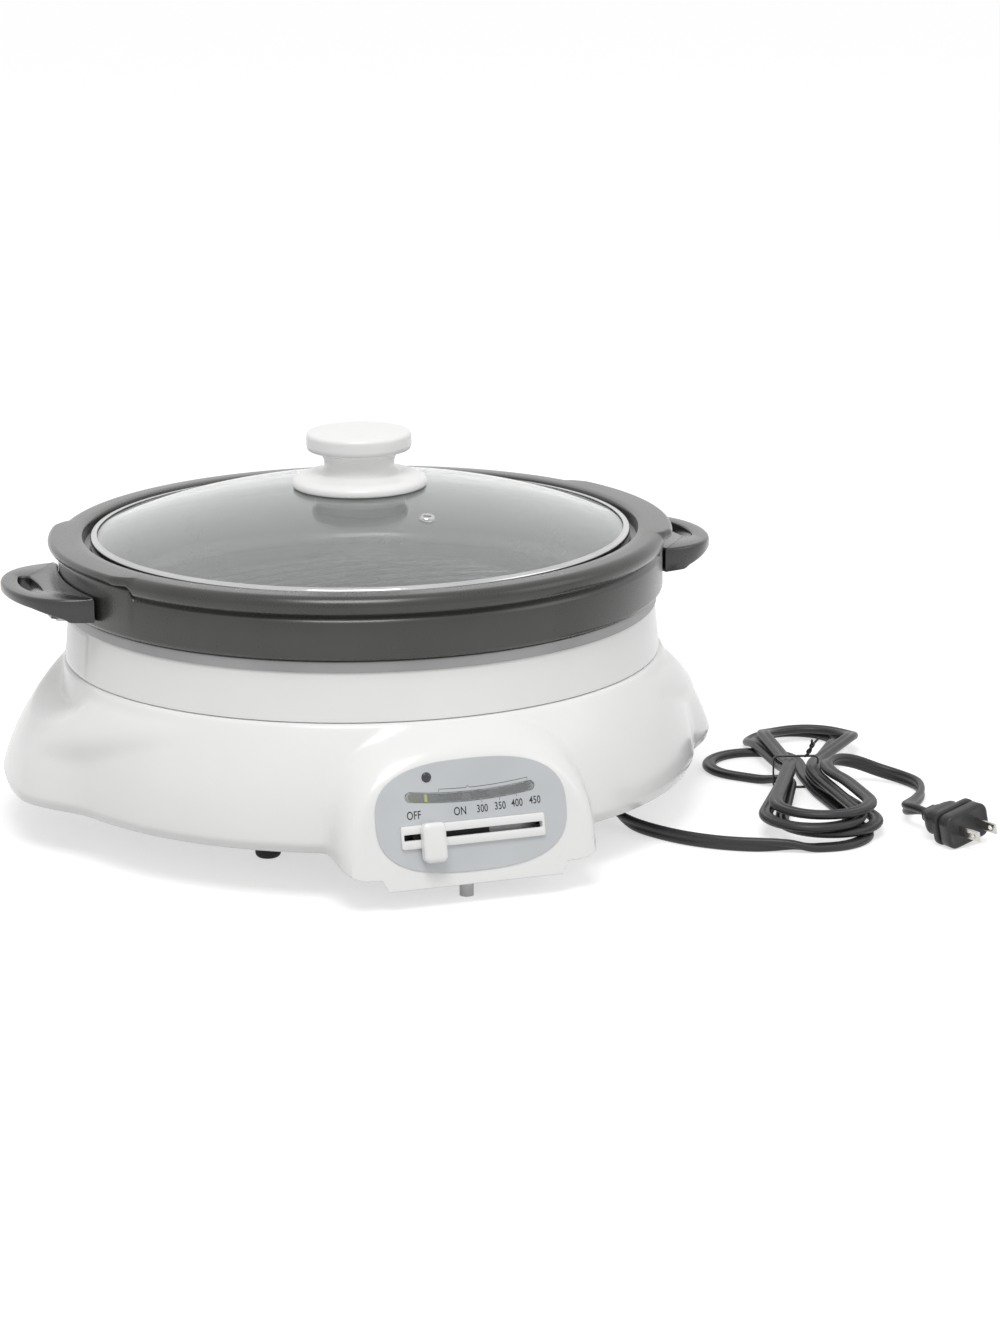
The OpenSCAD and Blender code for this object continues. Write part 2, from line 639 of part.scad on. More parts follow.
// ---- collar ----
collar_in = lip_out + 2 * seat;
flange_t = 2.5;
tab_half = 8;           // half the angle of a raised pad at each side of the collar
module collar_ring() {
  color("white") on_axis() {
    rotate_extrude($fn = 180) polygon([
      [low_r, seam_z + seat], [collar_r, collar_z], [collar_in, collar_z],
      [collar_in, collar_z - flange_t], [collar_r - wall, collar_z - flange_t],
      [low_r - wall, seam_z + seat + flange_t], [collar_in, seam_z + seat + flange_t],
      [collar_in, seam_z + seat]]);
    for (s = [-tab_half, 180 - tab_half]) rotate([0, 0, s])
      rotate_extrude(angle = 2 * tab_half, $fn = 180) polygon([
        [low_r - 1, seam_z + 1], [low_r + 0.7, seam_z + 1], [collar_r + 0.9, collar_z - 3],
        [collar_r - 1, collar_z - 3]]);
  }
}
module support_ring() {
  t = 1.5;
  color("#a8aaad") on_axis() rotate_extrude($fn = 180) polygon(concat(
    [[collar_in, ring_z]], arc([ring_r - 2, ring_z - 2], 2, 90, 0, 5),
    [[ring_r, collar_z - 1.4], [ring_r - ring_lip, collar_z - 1.4], [ring_r - ring_lip, collar_z],
      [collar_in, collar_z], [collar_in, collar_z + t], [ring_r - t, collar_z + t],
      [ring_r - t, ring_z - t], [collar_in, ring_z - t]]));
}

// ---- pan ----
foot_in = ring_r - 3.8; // the pan's wall turns in to here to stand on the ring
function pan_outline() = concat(
  [[0, floor_z], [118, floor_z], [119, floor_z - 1]],
  arc([bowl_r - 12, floor_z + 9], 10, -90, -12, 6),
  [[bowl_r + 1, ledge_z], [ledge_r, ledge_z], [ledge_r + 0.5, rim_z - 1]],
  [[ledge_r + 1.5, rim_z]],
  arc([lip_r - 6, rim_z - 6], 6, 90, -64, 10),
  [[wall_r - 0.7, rim_z - 13], [wall_r, rim_z - 15]],
  arc([wall_r - 3, ring_z + seat + 3], 3, 0, -90, 5),
  [[foot_in, ring_z + seat], [foot_in, ring_z + seat + cast_t],
    [skirt_in - 0.6, ring_z + seat + cast_t + 2], [skirt_in - 0.6, rim_z - 8],
    [skirt_in - 3, ledge_z - cast_t - 1]],
  [[bowl_r + cast_t + 1, ledge_z - cast_t - 1], [bowl_r + cast_t - 3, floor_z + 8]],
  arc([bowl_r - 12, floor_z + 9], 10 + cast_t, -10, -90, 6),
  [[100, pan_bottom], [96, contact_z], [78, contact_z], [74, pan_bottom], [0, pan_bottom]]);
ridge_c = [30, -180];   // far centre of the gently curved ridges
ridge_zone = 104;
module ear() {
  intersection() {
    rotate([0, 0, -ear_half - 4]) rotate_extrude(angle = 2 * ear_half + 8, $fn = 180) polygon(concat(
      [[ledge_r + 2.5, rim_z - 8], [ledge_r + 2.5, rim_z - 0.6]],
      arc([ear_r - 3, rim_z - 3.6], 3, 90, 0, 5),
      [[ear_r, rim_z - 5.4], [ear_r - 2, rim_z - 7.4], [lip_r - 3, rim_z - 8]]));
    linear_extrude(rim_z + 5) polygon([[0, 0], [lip_r * cos(ear_half), lip_r * sin(ear_half)],
      [ear_r * 1.02, ear_r * sin(ear_half - 5.5)], [ear_r * 1.02, -ear_r * sin(ear_half - 5.5)],
      [lip_r * cos(ear_half), -lip_r * sin(ear_half)]]);
  }
}
lug_y = 24;
lug_top = handle_z - 8.4;
lug_t = 4.5;
screw_bite = 4.8;       // grip of a handle screw in the handle, above the lug
module pan() {
  color("#4a4a4b") on_axis() {
    rotate_extrude($fn = 200) polygon(pan_outline());
    for (s = [0, 180]) rotate([0, 0, s]) {
      ear();
      for (y = [-lug_y, lug_y]) difference() {
        translate([skirt_in, y - 6, lug_top - lug_t]) cube([20, 12, lug_t]);
        translate([skirt_in + 13, y, lug_top - lug_t - 1]) cylinder(r = 2.2, h = lug_t + 2);
      }
    }
    intersection() {
      translate([ridge_c.x, ridge_c.y, floor_z - 0.5]) for (r = [80:ridge_pitch:290])
        rotate_extrude($fn = 120) polygon([[r - 1.4, 0], [r + 1.4, 0], [r + 0.7, ridge_h + 0.5],
          [r - 0.7, ridge_h + 0.5]]);
      translate([0, 0, floor_z - 0.4]) cylinder(r = ridge_zone, h = 5);
    }
  }
}
hole_in = wall_r + 12.5;
hole_out = handle_r - 12;
module pan_handle() {
  root = wall_r - 7;
  span = handle_r - root;
  color("#2b2b2c") difference() {
    intersection() {
      translate([0, 0, handle_z - 20]) linear_extrude(24) polygon([for (i = [0:64])
        let (a = -90 + 180 * i / 64)
        [root + span * pow(cos(a), 0.85), handle_half * sin(a) * (1 + 0.1 * pow(cos(a), 2))]]);
      translate([0, 60, 0]) rotate([90, 0, 0]) linear_extrude(120) polygon([
        [wall_r - 6, handle_z - 13.6], [wall_r + 9, handle_z - 13], [handle_r - 12, handle_z - 6.5],
        [handle_r, handle_z - 4.6], [handle_r + 1, handle_z - 1.4], [handle_r - 1.4, handle_z],
        [wall_r - 6, handle_z]]);
    }
    translate([0, 0, 100]) cylinder(r = wall_r + snug, h = 80, $fn = 200);
    translate([wall_r - 2, -handle_half + 6, handle_z - 15]) cube([9.5, 2 * handle_half - 12, 7]);
    for (y = [-lug_y, lug_y]) {
      translate([skirt_in, y - 6.5, lug_top - 8]) cube([20.5, 13, 8]);
      translate([skirt_in + 13, y, lug_top - 1]) cylinder(r = 2 + run, h = 1 + screw_bite + seat);
    }
    translate([hole_in, -15, handle_z - 20]) cube([hole_out - hole_in, 30, 30]);
    for (y = [-15, 15]) translate([(hole_in + hole_out) / 2, y, handle_z - 20])
      cylinder(r = (hole_out - hole_in) / 2, h = 30);
  }
}
module left_pan_handle() { on_axis() rotate([0, 0, 180]) pan_handle(); }
module right_pan_handle() { on_axis() pan_handle(); }
module handle_screws() {
  color("silver") on_axis() for (s = [0, 180]) rotate([0, 0, s]) for (y = [-lug_y, lug_y])
    translate([skirt_in + 13, y, lug_top - lug_t]) {
      translate([0, 0, -2.2]) cylinder(r = 3.6, h = 2.2);
      cylinder(r = 2, h = lug_t + screw_bite);
    }
}

// ---- lid ----
module lid_rim() {
  color("gainsboro") on_axis() rotate_extrude($fn = 200) polygon([
    [lid_r - 4, rim_low], [lid_r - 0.6, rim_low], [lid_r, rim_low + 0.8], [lid_r, rim_z - 1.4],
    [lid_r - 0.8, rim_z - 0.5], [lid_r - 4.6, rim_z + 0.1], [lid_r - 4.6, rim_z - 0.6],
    [lid_r - 0.9, rim_z - 1.3], [lid_r - 0.6, rim_z - 1.8], [lid_r - 0.6, rim_low + 0.5],
    [lid_r - 4, rim_low + 0.5]]);
}
module dome_cut(extra) {
  translate([0, 0, dome_c]) sphere(r = dome_r + extra, $fn = 200);
}
module lid_glass() {
  color("#cfd6d6", 0.35) on_axis() difference() {
    intersection() {
      dome_cut(0);
      translate([0, 0, rim_low + 0.6]) cylinder(r = lid_r - 0.7, h = 60, $fn = 200);
    }
    dome_cut(-glass_t);
    translate([0, 0, dome_top - 30]) cylinder(r = shank_r + 0.3, h = 60);
    at_vent() translate([0, 0, -10]) cylinder(r = 3.3, h = 20);
  }
}
module at_vent() {
  tilt = asin(vent_r / dome_r);
  rotate([0, 0, -90 + vent_turn]) translate([0, 0, dome_c]) rotate([0, tilt, 0])
    translate([0, 0, dome_r]) children();
}
module lid_vent() {
  color("silver") on_axis() at_vent() difference() {
    union() {
      translate([0, 0, -glass_t - 1.2]) cylinder(r = 3.2, h = glass_t + 2);
      translate([0, 0, 0.05]) cylinder(r1 = 4.4, r2 = 3.9, h = 0.8);
      translate([0, 0, -glass_t - 1]) cylinder(r = 4.4, h = 0.9);
    }
    translate([0, 0, -glass_t - 3]) cylinder(r = 2.1, h = glass_t + 6);
  }
}
module lid_knob() {
  base = dome_top - 1.6;
  top = dome_top + knob_h;
  color("white") on_axis() difference() {
    rotate_extrude($fn = 120) polygon(concat(
      [[0, base - 2], [knob_skirt_r - 0.5, base - 2]], arc([knob_skirt_r - 1, base + 0.5], 1, 0, 80, 4),
      [[knob_neck_r + 7, base + 3.4], [knob_neck_r + 4.4, base + 5.2], [knob_neck_r + 1, base + 9],
        [knob_neck_r, base + 12], [knob_neck_r, base + 14.5], [knob_neck_r + 1.4, base + 19],
        [knob_neck_r + 5, base + 23.5], [knob_top_r - 1.6, base + 25.6]],
      arc([knob_top_r - 1.6, top - 4.6], 1.6, 0, 70, 4), [[knob_top_r - 8, top - 0.8], [0, top]]));
    dome_cut(seat);
    translate([0, 0, dome_top - 5]) cylinder(r = 15 + seat, h = 5 + gasket_t + 2 * snug);
    translate([0, 0, base - 4]) cylinder(r = shank_r + run, h = 20);
  }
}
gasket_t = 1.6;
module knob_gasket() {
  inner = shank_r + 0.3;
  color("lightgrey") on_axis() rotate_extrude() polygon([
    [inner, dome_z(inner) + snug], [15, dome_z(15) + snug], [15, dome_top + gasket_t],
    [inner, dome_top + gasket_t]]);
}
boss_low = dome_top - glass_t - 14;
module knob_boss() {
  color("#6d7072") on_axis() difference() {
    translate([0, 0, boss_low]) cylinder(r1 = 26.5, r2 = 28, h = 15);
    translate([0, 0, dome_c]) difference() {
      sphere(r = dome_r + 40, $fn = 200);
      sphere(r = dome_r - glass_t - snug, $fn = 200);
    }
    translate([0, 0, boss_low - 1]) cylinder(r = shank_r + 0.3, h = 20);
  }
}
module knob_screw() {
  color("silver") on_axis() {
    translate([0, 0, boss_low - 3.2]) cylinder(r = 5, h = 3.2);
    translate([0, 0, boss_low - 0.5]) cylinder(r = shank_r, h = dome_top - boss_low + 11);
  }
}

// ---- mains lead: it stands on its edge from the base to the hank, and from there to the plug ----
relief_end = [gland_x + relief_l * cos(lead_heading), gland_y + relief_l * sin(lead_heading), relief_z];
stood_z = cord_w / 2 + 0.05;
run_route = [[124.5, -76, 12.8], [127, -92, 7], [131, -111, stood_z], [139, -132, stood_z],
  [150.5, -150, stood_z], [166, -165.5, stood_z], [184, -176.5, stood_z], [203, -183.5, stood_z]];
plug_at = [291.5, -177, 12.5];
plug_heading = -74;
plug_roll = 12;
plug_back = plug_at - cord_w * [cos(plug_heading), sin(plug_heading), 0];

// The hank: loops of one radius lie flat on each other, and a tie holds them all at the waist.
// Even loops point towards the run, odd ones away from it.
hank_c = [257, -62];
hank_turn = 72;         // direction of the hank's long axis, in degrees from +X
loop_turn = [-106, 101, -102, 70, -108, 64, -104, 68, -104];
loop_share = [1, 0.6, 0.93, 0.9, 0.965, 0.82, 0.91, 0.84, 0.9];
loop_r = 27.8;
last_loop = 2 * hank_turns;
layer_step = cord_t + 0.7;
lie = cord_t / 2 + 0.05;
waist = cord_w / 2 + 0.45;
waist_lift = 2.4;       // draws the strands up where the tie passes under them
waist_ease = 20;        // length over which a strand turns at the waist
across = [sin(hank_turn), -cos(hank_turn)];
function loop_reach(k) = hank_reach * loop_share[k] - loop_r;
function loop_lean(k) = asin((loop_r - waist) / loop_reach(k));
// Loops after the first far one come down a layer beyond it
function loop_z(k, q) = lie + layer_step * (floor(k / 2)
  - (k % 2 == 1 && k > 1 ? ease((norm(q - hank_c) - 76) / 28) : 0));
function lifted(k, q) = [q.x, q.y, loop_z(k, q)];
function loop_arc(k) =
  let (d = loop_turn[k], out = [cos(d), sin(d)], side = [sin(d), -cos(d)])
  let (a0 = k == 0 ? 90 : -loop_lean(k), a1 = 180 + loop_lean(k), n = k == 0 ? 5 : 10)
  [for (i = [0:n]) let (a = a0 + (a1 - a0) * i / n)
    lifted(k, hank_c + side * loop_r * cos(a) + out * (loop_reach(k) + loop_r * sin(a)))];
function flat(q) = [q.x, q.y];
// Strand from one loop's end through the waist to the next loop's start
function strand(k) =
  let (w = hank_c + (k % 2 == 0 ? 1 : -1) * waist * across)
  let (from = flat(loop_arc(k)[len(loop_arc(k)) - 1]), to = flat(loop_arc(k + 1)[0]))
  let (run_in = norm(from - w), run_out = norm(to - w))
  let (a = w + (from - w) * waist_ease / run_in, b = w + (to - w) * waist_ease / run_out)
  let (n_in = round((run_in - waist_ease) / 14), n_out = round((run_out - waist_ease) / 14))
  let (low = lie + layer_step * floor(k / 2), high = lie + layer_step * floor((k + 1) / 2))
  let (pin = [w.x, w.y, (low + high) / 2 + waist_lift])
  concat(
    [for (i = [1:1:n_in - 1]) lifted(k, from + (a - from) * i / n_in)],
    [for (t = [0:0.25:1]) [a.x, a.y, low] * (1 - t) * (1 - t) + pin * 2 * t * (1 - t)
      + [b.x, b.y, high] * t * t],
    [for (i = [1:1:n_out - 1]) lifted(k + 1, b + (to - b) * i / n_out)]);
hank_points = [for (k = [0:last_loop]) each
  concat(loop_arc(k), k < last_loop ? strand(k) : [])];
hank_count = len(hank_points);
hank_in = hank_points[0];
hank_out = hank_points[hank_count - 1];
hank_rings = oval_rings(hank_points, cord_w, cord_t, 6);
// Least gap between passes of the hank, measured between ring points of rings far apart along it
self_gap = min([for (i = [0:hank_count - 10]) for (j = [i + 8:hank_count - 1])
  if (norm(hank_points[i] - hank_points[j]) < 2 * cord_w)
    min([for (p = hank_rings[i]) for (q = hank_rings[j]) norm(p - q)])]);
echo(hank_self_gap = self_gap);

top = hank_out.z;
tail_route = [[265, -116, top], [264.2, -103, top], [264.5, -91, top], [268.3, -76.8, top],
  [278.8, -66.3, top - 1.2], [293, -62.5, top - 5], [307.2, -66.3, 7.5], [317.7, -76.8, 4.7],
  [321.5, -91, stood_z], [319.5, -102, stood_z], [314, -114.5, stood_z], [305, -127, 4.6],
  [295.5, -138.5, 6], [288.6, -149, 8.2], [286.4, -159, 10.8]];
function way_on(a, b) = (b - a) / norm(b - a) * cord_t;
run_points = concat([relief_end], route(run_route, 2),
  [hank_in - 2 * way_on(hank_in, hank_points[1]), hank_in - way_on(hank_in, hank_points[1]), hank_in]);
tail_points = concat([hank_out, hank_out + way_on(hank_points[hank_count - 2], hank_out)],
  route(tail_route, 2), [plug_back, plug_at]);
// From flat at one end, over the given count of points at each end, to the edge between them
function on_edge(n, first, last, from, to) = [for (i = [0:n - 1])
  i < n / 2 ? from + (90 - from) * ease((i - first) / 5) : 90 + (to - 90) * ease((i - n + 1 + last) / last)];

module cord_run() {
  color("#1f1f21") on_axis() skin(oval_rings(run_points, cord_w, cord_t, 10,
    on_edge(len(run_points), 1, 4, 0, 0)), false);
}
module cord_hank() {
  color("#1f1f21") on_axis() skin(hank_rings, false);
}
module cord_tail() {
  color("#1f1f21") on_axis() skin(oval_rings(tail_points, cord_w, cord_t, 10,
    on_edge(len(tail_points), 9, 5, 0, plug_roll)), false);
}
module cord_tie() {
  right = waist + cord_w / 2 + 3.2;
  left = right + 4.8;     // the strands stand further out on this side
  high = lie + waist_lift / 2 + layer_step * (hank_turns - 0.5) + cord_t / 2 + 0.5;
  color("black") on_axis() translate([hank_c.x, hank_c.y, 0]) rotate([0, 0, hank_turn - 90]) {
    difference() {
      translate([-left - 1, -1.5, 0]) cube([left + right + 2, 3, high + 1]);
      translate([-left, -3, 1]) cube([left + right, 6, high - 1]);
    }
    translate([4, 0, high + 0.5]) rotate([0, 30, 0]) cylinder(r = 1.1, h = 12);
  }
}
module at_plug() {
  on_axis() translate(plug_at) rotate([0, 0, plug_heading]) rotate([plug_roll, 0, 0])
    rotate([0, 90, 0]) children();
}
// Flat rounded block, wide along y and high along x, as a plug's body is
module rounded_block(w, h, l, r) {
  linear_extrude(l) polygon([for (q = [[1, 1], [-1, 1], [-1, -1], [1, -1]]) each
    let (a = q.x > 0 ? (q.y > 0 ? 0 : 270) : (q.y > 0 ? 90 : 180))
    arc([q.x * (h / 2 - r), q.y * (w / 2 - r)], r, a, a + 90, 6)]);
}
module plug_body() {
  neck = 12;
  color("#232326") at_plug() difference() {
    union() {
      hull() {
        rounded_block(cord_w + 5, cord_t + 5, 1, 3, $fn = 32);
        translate([0, 0, neck]) rounded_block(plug_w - 7, plug_h - 6, 1, 5, $fn = 32);
      }
      translate([0, 0, neck]) rounded_block(plug_w - 7, plug_h - 6, 6, 5);
      translate([0, 0, neck + 4]) rounded_block(plug_w, plug_h, plug_l - neck - 4, 5);
    }
    for (y = [-6.35, 6.35]) translate([0, y, plug_l - 8]) slab([6.5, 1.7, 10]);
  }
}
module plug_blades() {
  color("silver") at_plug() for (y = [-6.35, 6.35]) difference() {
    translate([0, y, plug_l - 7.5]) slab([6.3, 1.5, 24.5]);
    translate([0, y, plug_l + 12.5]) rotate([90, 0, 0]) cylinder(r = 1.6, h = 4, center = true);
  }
}

base_housing();
bottom_cover();
rubber_feet();
front_peg_foot();
cover_screws();
heat_shield();
reflector_dish();
heating_ring();
ring_supports();
sensor_guide();
sensor_plunger();
sensor_spring();
thermal_fuse();
label_plate();
window_lens();
slot_frame();
pilot_lamp();
slider_knob();
slider_carriage();
scale_pointer();
thermostat_body();
thermostat_shaft();
thermostat_pinion();
thermostat_bracket();
bracket_screws();
terminal_block();
inner_wires();
cord_gland();
strain_relief();
collar_ring();
support_ring();
pan();
left_pan_handle();
right_pan_handle();
handle_screws();
lid_rim();
lid_glass();
lid_vent();
lid_knob();
knob_gasket();
knob_boss();
knob_screw();
cord_run();
cord_hank();
cord_tie();
cord_tail();
plug_body();
plug_blades();
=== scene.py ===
# Electric hot pot: a heating base with a sliding control, a lift-off collar, a grill pan and
# a glass lid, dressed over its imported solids. Shapes are worked out in millimetres from the
# pot's own axis and placed in metres, +Z up, the control panel towards -Y.
import bpy
from math import asin, atan2, copysign, cos, degrees, hypot, pi, radians, sin, sqrt, tan
from mathutils import Matrix, Vector


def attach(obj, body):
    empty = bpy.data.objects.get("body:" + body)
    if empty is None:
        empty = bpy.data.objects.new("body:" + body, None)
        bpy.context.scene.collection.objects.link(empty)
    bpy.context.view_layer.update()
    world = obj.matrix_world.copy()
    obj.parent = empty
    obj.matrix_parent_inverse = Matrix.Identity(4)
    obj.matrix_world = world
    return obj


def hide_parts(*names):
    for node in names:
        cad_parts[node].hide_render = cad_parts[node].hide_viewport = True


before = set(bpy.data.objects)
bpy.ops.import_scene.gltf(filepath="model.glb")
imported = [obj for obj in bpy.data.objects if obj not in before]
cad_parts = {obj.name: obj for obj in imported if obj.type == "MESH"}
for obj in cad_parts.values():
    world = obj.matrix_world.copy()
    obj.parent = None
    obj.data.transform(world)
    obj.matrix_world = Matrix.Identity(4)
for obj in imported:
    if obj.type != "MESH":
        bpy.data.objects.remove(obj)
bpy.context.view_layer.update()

bpy.ops.object.select_all(action="DESELECT")

# ---- Camera ----
# It stands to the left of the panel and a little above the lid, as the photograph was taken.
camera_data = bpy.data.cameras.new("camera")
camera_data.sensor_fit = "VERTICAL"
camera_data.sensor_width = 36
camera_data.sensor_height = 36
camera_data.lens = 115.62
camera_data.clip_end = 40
camera = bpy.data.objects.new("camera", camera_data)
bpy.context.collection.objects.link(camera)
camera.matrix_world = (Matrix.Translation((-0.70931, -2.36785, 0.7285))
                       @ Matrix.Rotation(radians(-18.49), 4, "Z")
                       @ Matrix.Rotation(radians(90 - 14.553), 4, "X")
                       @ Matrix.Rotation(-0.011, 4, "Z"))
bpy.context.scene.camera = camera

# ---- Mains lead ----
# Flat two-core PVC lead, 8.5 by 4.6 mm. It leaves the base under its right side and stands on
# its edge on the table. In its middle it is folded to a flat hank of loops that lie on each
# other, and it goes on from there to its plug.
MM = 0.001
AXIS_Y = 11.5013           # the pot's axis stands this far behind the row's origin


def place(point):
    return Vector((point[0] * MM, (point[1] + AXIS_Y) * MM, point[2] * MM))


def take_up(piece):
    bpy.ops.object.select_all(action="DESELECT")
    piece.select_set(True)
    bpy.context.view_layer.objects.active = piece


def smooth_under(angle):
    """The piece in hand shaded smooth over edges that turn by less."""
    bpy.ops.object.shade_smooth_by_angle(angle=radians(angle))


def cleaned(piece, sharp, apart):
    """The piece in hand, its doubled points joined, faces turned out and soft edges smoothed."""
    bpy.ops.object.mode_set(mode="EDIT")
    bpy.ops.mesh.select_all(action="SELECT")
    bpy.ops.mesh.remove_doubles(threshold=apart)
    bpy.ops.mesh.dissolve_degenerate(threshold=1e-7)
    bpy.ops.mesh.normals_make_consistent(inside=False)
    bpy.ops.object.mode_set(mode="OBJECT")
    smooth_under(sharp)
    return piece


def meshed(name, points, edges, faces):
    mesh = bpy.data.meshes.new(name)
    mesh.from_pydata(points, edges, faces)
    piece = bpy.data.objects.new(name, mesh)
    bpy.context.collection.objects.link(piece)
    take_up(piece)
    return piece


def modified(piece, kind, **settings):
    """The piece with one modifier set and applied."""
    take_up(piece)
    bpy.ops.object.modifier_add(type=kind)
    for label, value in settings.items():
        setattr(piece.modifiers[-1], label, value)
    bpy.ops.object.modifier_apply(modifier=piece.modifiers[-1].name)


def ringed(name, rings, closed=False, sharp=35):
    """A skin over equal rings of points: closed in a loop, or capped at both ends."""
    n, m = len(rings), len(rings[0])
    faces = []
    for i in range(n if closed else n - 1):
        a, b = i * m, (i + 1) % n * m
        faces += [(a + j, a + (j + 1) % m, b + (j + 1) % m, b + j) for j in range(m)]
    if not closed:
        faces += [tuple(range(m))[::-1], tuple(range((n - 1) * m, n * m))]
    return cleaned(meshed(name, [place(p) for ring in rings for p in ring], [], faces), sharp, 2e-6)


def circle(n):
    """Cosine and sine of each of n even steps round a circle."""
    return [(cos(2 * pi * k / n), sin(2 * pi * k / n)) for k in range(n)]


def arc(u, v, radius, start, end, n):
    """Points of an arc round (u, v), between two angles in degrees."""
    return [(u + radius * cos(a), v + radius * sin(a)) for a in
            (radians(start + (end - start) * k / n) for k in range(n + 1))]


def joined(parts):
    """All parts made one piece, which keeps the first one's name."""
    take_up(parts[0])
    for part in parts:
        part.select_set(True)
    bpy.ops.object.join()
    return parts[0]


def eased(t):
    t = min(1, max(0, t))
    return t * t * (3 - 2 * t)


def eased_route(points, steps=6):
    """Smooth route through listed points."""
    out = []
    last = len(points) - 1
    for i in range(last):
        a, b, c, d = (Vector(points[k]) for k in (max(i - 1, 0), i, i + 1, min(i + 2, last)))
        for k in range(steps):
            t = k / steps
            out.append(0.5 * (2 * b + (c - a) * t + (2 * a - 5 * b + 4 * c - d) * t * t
                              + (3 * b - a - 3 * c + d) * t ** 3))
    return out + [Vector(points[-1])]


LEAD_STEP = 2.4


def evened(points):
    """The same route in steps of one length, its last small corners eased."""
    out, left = [points[0].copy()], LEAD_STEP
    for a, b in zip(points, points[1:]):
        run = (b - a).length
        while run > 1e-9 and left <= run:
            a = a + (b - a) * (left / run)
            run -= left
            left = LEAD_STEP
            out.append(a.copy())
        left -= run
    out.append(points[-1].copy())
    for _ in range(4):
        out = [out[0]] + [(out[i - 1] + out[i] * 2 + out[i + 1]) / 4
                          for i in range(1, len(out) - 1)] + [out[-1]]
    return out


def drawn(name, path, profile, closed=False, sharp=40, rolls=None):
    """A profile of (across, up) points drawn along a path, level or rolled about the path."""
    rings, last = [], len(path) - 1
    for i, p in enumerate(path):
        if closed:
            run = path[(i + 1) % len(path)] - path[i - 1]
        else:
            run = path[min(i + 1, last)] - path[max(i - 1, 0)]
        side = run.cross(Vector((0, 0, 1))).normalized()
        up = side.cross(run).normalized()
        if rolls:
            c, s = cos(rolls[i]), sin(rolls[i])
            side, up = side * c + up * s, up * c - side * s
        rings.append([p + side * u + up * v for u, v in profile])
    return ringed(name, rings, closed, sharp)


def colour(tone):
    """A colour as it is read on a screen, 0 to 255, made linear."""
    return tuple(((c / 255 + 0.055) / 1.055) ** 2.4 if c > 10 else c / 3294 for c in tone) + (1,)


def feed(tree, node, inputs):
    """Each input takes its value, or a link where a socket is given."""
    for label, value in inputs.items():
        if isinstance(value, bpy.types.NodeSocket):
            tree.links.new(value, node.inputs[label])
        else:
            node.inputs[label].default_value = value


def wired(tree, kind, inputs, **settings):
    """The outputs of a new node with these settings and inputs."""
    node = tree.nodes.new(kind)
    for label, value in settings.items():
        setattr(node, label, value)
    feed(tree, node, inputs)
    return node.outputs


grain_group = bpy.data.node_groups.new("surface grain", "ShaderNodeTree")
for label, start in (("Size", 400.0), ("Smooth", 0.3), ("Rough", 0.4), ("Stretch Up", 1.0)):
    grain_group.interface.new_socket(label, in_out="INPUT",
                                     socket_type="NodeSocketFloat").default_value = start
for label in ("Roughness", "Height", "Tone"):
    grain_group.interface.new_socket(label, in_out="OUTPUT", socket_type="NodeSocketFloat")
asked = wired(grain_group, "NodeGroupInput", {})
spot = wired(grain_group, "ShaderNodeTexCoord", {})["Object"]
stretch = wired(grain_group, "ShaderNodeCombineXYZ", {"X": 1, "Y": 1, "Z": asked["Stretch Up"]})
scaled = wired(grain_group, "ShaderNodeVectorMath", {0: spot, 1: stretch[0]}, operation="MULTIPLY")
fine = wired(grain_group, "ShaderNodeTexNoise",
             {"Vector": scaled[0], "Scale": asked["Size"], "Detail": 3})["Fac"]
cloud = wired(grain_group, "ShaderNodeTexNoise", {"Vector": spot, "Scale": 22, "Detail": 2})["Fac"]
both = wired(grain_group, "ShaderNodeMath", {0: fine, 1: cloud}, operation="ADD")[0]
gloss = wired(grain_group, "ShaderNodeMapRange",
              {"Value": both, "From Min": 0.6, "From Max": 1.4, "To Min": asked["Smooth"],
               "To Max": asked["Rough"]})["Result"]
tones = wired(grain_group, "ShaderNodeMapRange",
              {"Value": cloud, "From Min": 0.35, "From Max": 0.65})["Result"]
wired(grain_group, "NodeGroupOutput", {"Roughness": gloss, "Height": fine, "Tone": tones})


def finish(name, light, dark, smooth, rough, size=400, depth=0.02, stretch=1, **plain):
    """A surface of two near tones, its gloss and fine relief from the surface grain."""
    material = bpy.data.materials.new(name)
    material.use_nodes = True
    tree = material.node_tree
    grain = wired(tree, "ShaderNodeGroup", {"Size": size, "Smooth": smooth, "Rough": rough,
                                            "Stretch Up": stretch}, node_tree=grain_group)
    tone = wired(tree, "ShaderNodeMix", {0: grain["Tone"], 6: colour(dark), 7: colour(light)},
                 data_type="RGBA")[2]
    relief = wired(tree, "ShaderNodeBump", {"Strength": 0.5, "Distance": depth * MM,
                                            "Height": grain["Height"]})["Normal"]
    surface = {label.replace("_", " "): value for label, value in plain.items()}
    feed(tree, tree.nodes["Principled BSDF"],
         {"Base Color": tone, "Roughness": grain["Roughness"], "Normal": relief, **surface})
    return material


def fit(piece, body, slot, material, *nodes):
    """The finished piece takes its material, rides its body and stands for these CAD nodes."""
    piece.data.materials.clear()
    piece.data.materials.append(material)
    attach(piece, body)
    if nodes:
        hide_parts(*nodes)


